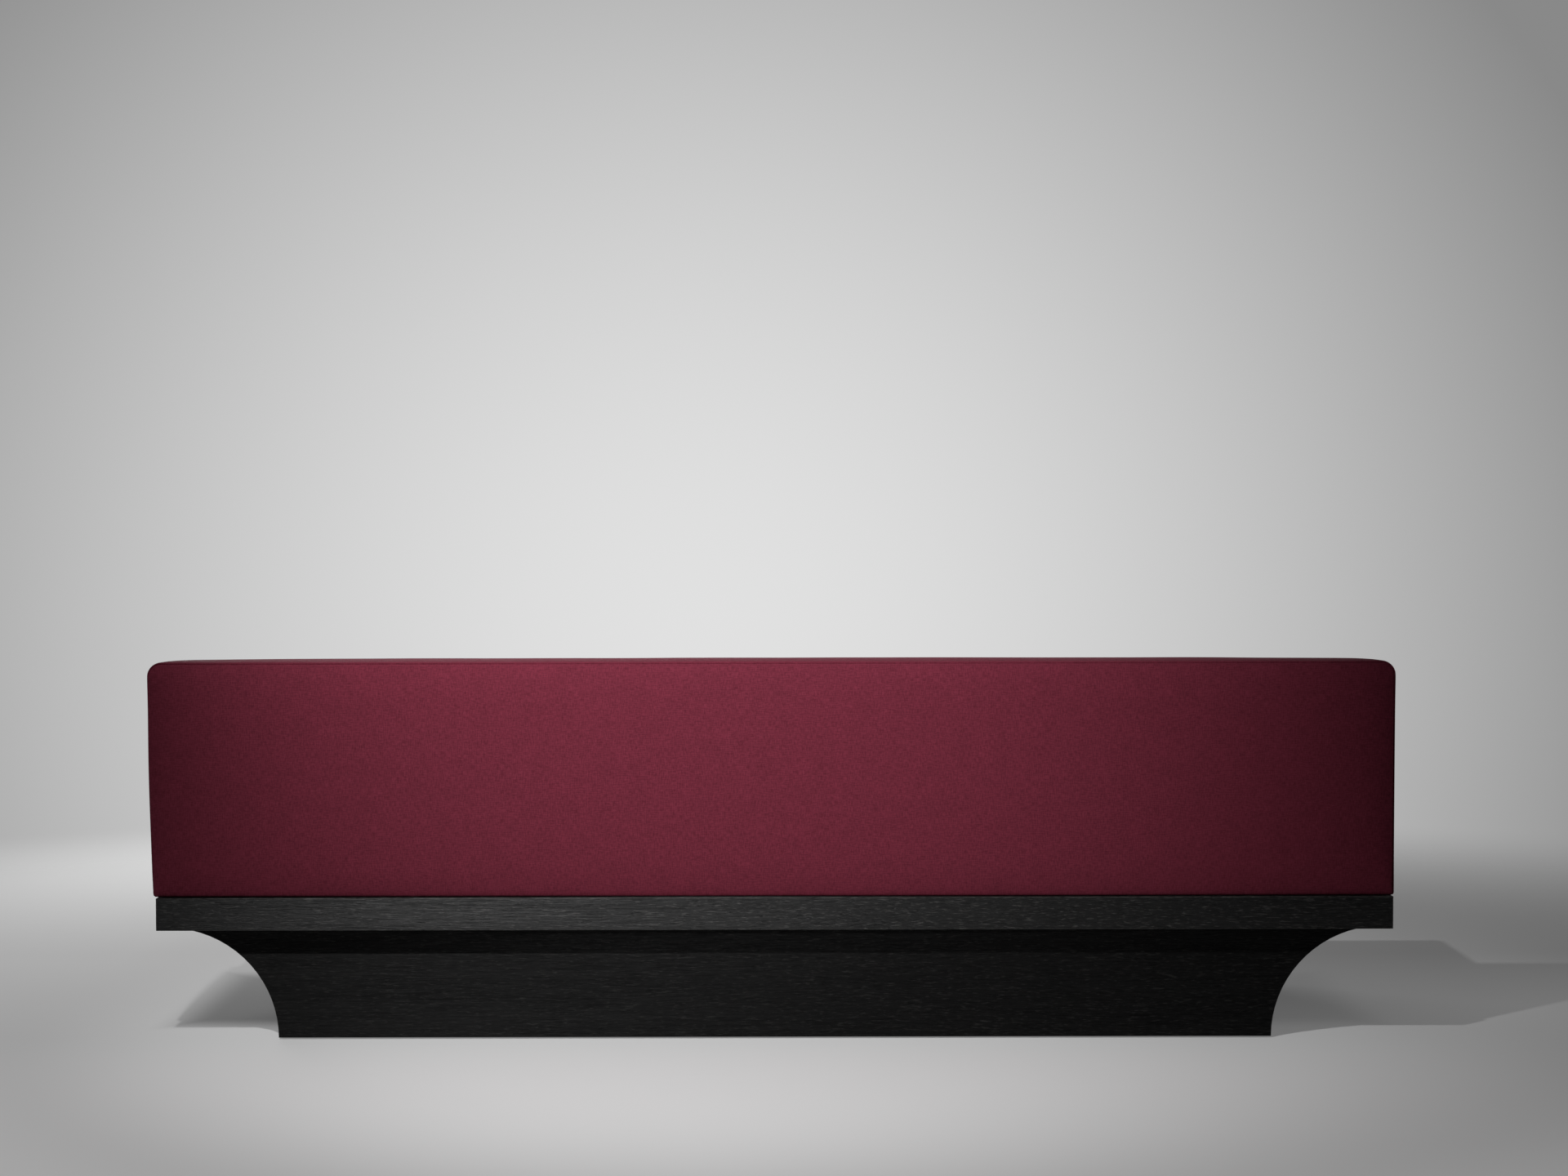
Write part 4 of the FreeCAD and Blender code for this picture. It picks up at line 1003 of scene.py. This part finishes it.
def makeWorld(look):
    world = bpy.data.worlds.new("studioWorld")
    bpy.context.scene.world = world
    world.use_nodes = True
    tree = world.node_tree
    tree.nodes.clear()
    way = splitVector(tree, tree.nodes.new("ShaderNodeTexCoord").outputs["Generated"])
    # paleness falls off around the middle of the backdrop, which stands on both long sides
    folded = joinVector(tree, way["X"], calc(tree, "ABSOLUTE", way["Y"]), way["Z"])
    away = vectorCalc(tree, "DISTANCE", folded, look["middle"])
    level = calc(tree, "MAXIMUM", remap(tree, away, *look["pale"], "SMOOTHSTEP"), look["surround"])
    glossy = tree.nodes.new("ShaderNodeLightPath").outputs["Is Glossy Ray"]
    hidden = calc(tree, "MULTIPLY", remap(tree, way["Y"], *look["behind"], "SMOOTHSTEP"), glossy)
    seen = calc(tree, "MULTIPLY", level, calc(tree, "SUBTRACT", 1.0, hidden))
    # soft light on the object, most of it from the sofa's front
    fill = calc(tree, "MULTIPLY", remap(tree, way["Y"], *look["fill"], "SMOOTHSTEP"),
                remap(tree, way["Z"], *look["fillAbove"]))
    mix = tree.nodes.new("ShaderNodeMixShader")
    plug(tree, seenDirectly(tree), mix.inputs[0])
    plug(tree, whiteBackground(tree, fill), mix.inputs[1])
    plug(tree, whiteBackground(tree, seen), mix.inputs[2])
    plug(tree, mix.outputs[0], tree.nodes.new("ShaderNodeOutputWorld").inputs["Surface"])


spotLamps = {                                        # place, aim, watts, whole cone in degrees, radius
    "keySpot": ((1.15, 2.25, 3.05), (0.14, 0.36, 0.43), 360.0, 46.5, 0.05),
    "faceSpot": ((0.60, 3.40, 1.40), (0.06, 0.34, 1.38), 222.0, 52.6, 0.12),
}
frontLamp = {"place": (1.7, -3.3, 1.05), "aim": (0.0, -0.2, 0.40), "power": 64.0, "size": (2.6, 1.4)}


def addLamp(name, kind, place, aim, power):
    clearSelection()
    bpy.ops.object.light_add(type=kind, location=place)
    lamp = bpy.context.object
    lamp.name = name
    lamp.rotation_euler = (Vector(aim) - Vector(place)).to_track_quat("-Z", "Y").to_euler()
    lamp.data.energy = power
    return lamp.data


def addSpot(name, place, aim, power, angle, radius):
    spot = addLamp(name, "SPOT", place, aim, power)
    spot.spot_size = math.radians(angle)
    spot.spot_blend = 1.0
    spot.shadow_soft_size = radius


def addFrontLamp(look):
    front = addLamp("frontLamp", "AREA", look["place"], look["aim"], look["power"])
    front.shape = "RECTANGLE"
    front.size, front.size_y = look["size"]


photoCamera = {
    "place": (-0.0156, 5.0511, 1.0223), "down": 0.03079, "yaw": 0.00078, "roll": 0.00168,
    "lens": 56.25, "sensor": 36.0, "clipEnd": 200.0,
}


def addCamera(look):
    clearSelection()
    turn = (math.pi / 2 - look["down"], look["roll"], math.pi - look["yaw"])
    bpy.ops.object.camera_add(location=look["place"], rotation=turn)
    camera = bpy.context.object
    camera.name = "photoCamera"
    camera.data.sensor_width = look["sensor"]
    camera.data.lens = look["lens"]
    camera.data.clip_end = look["clipEnd"]
    bpy.context.scene.camera = camera


makeFloor(floorLook)
makeWorld(worldLook)
for name, lamp in spotLamps.items():
    addSpot(name, *lamp)
addFrontLamp(frontLamp)
addCamera(photoCamera)
bpy.context.scene.view_settings.view_transform = "Standard"
print("studio ready")
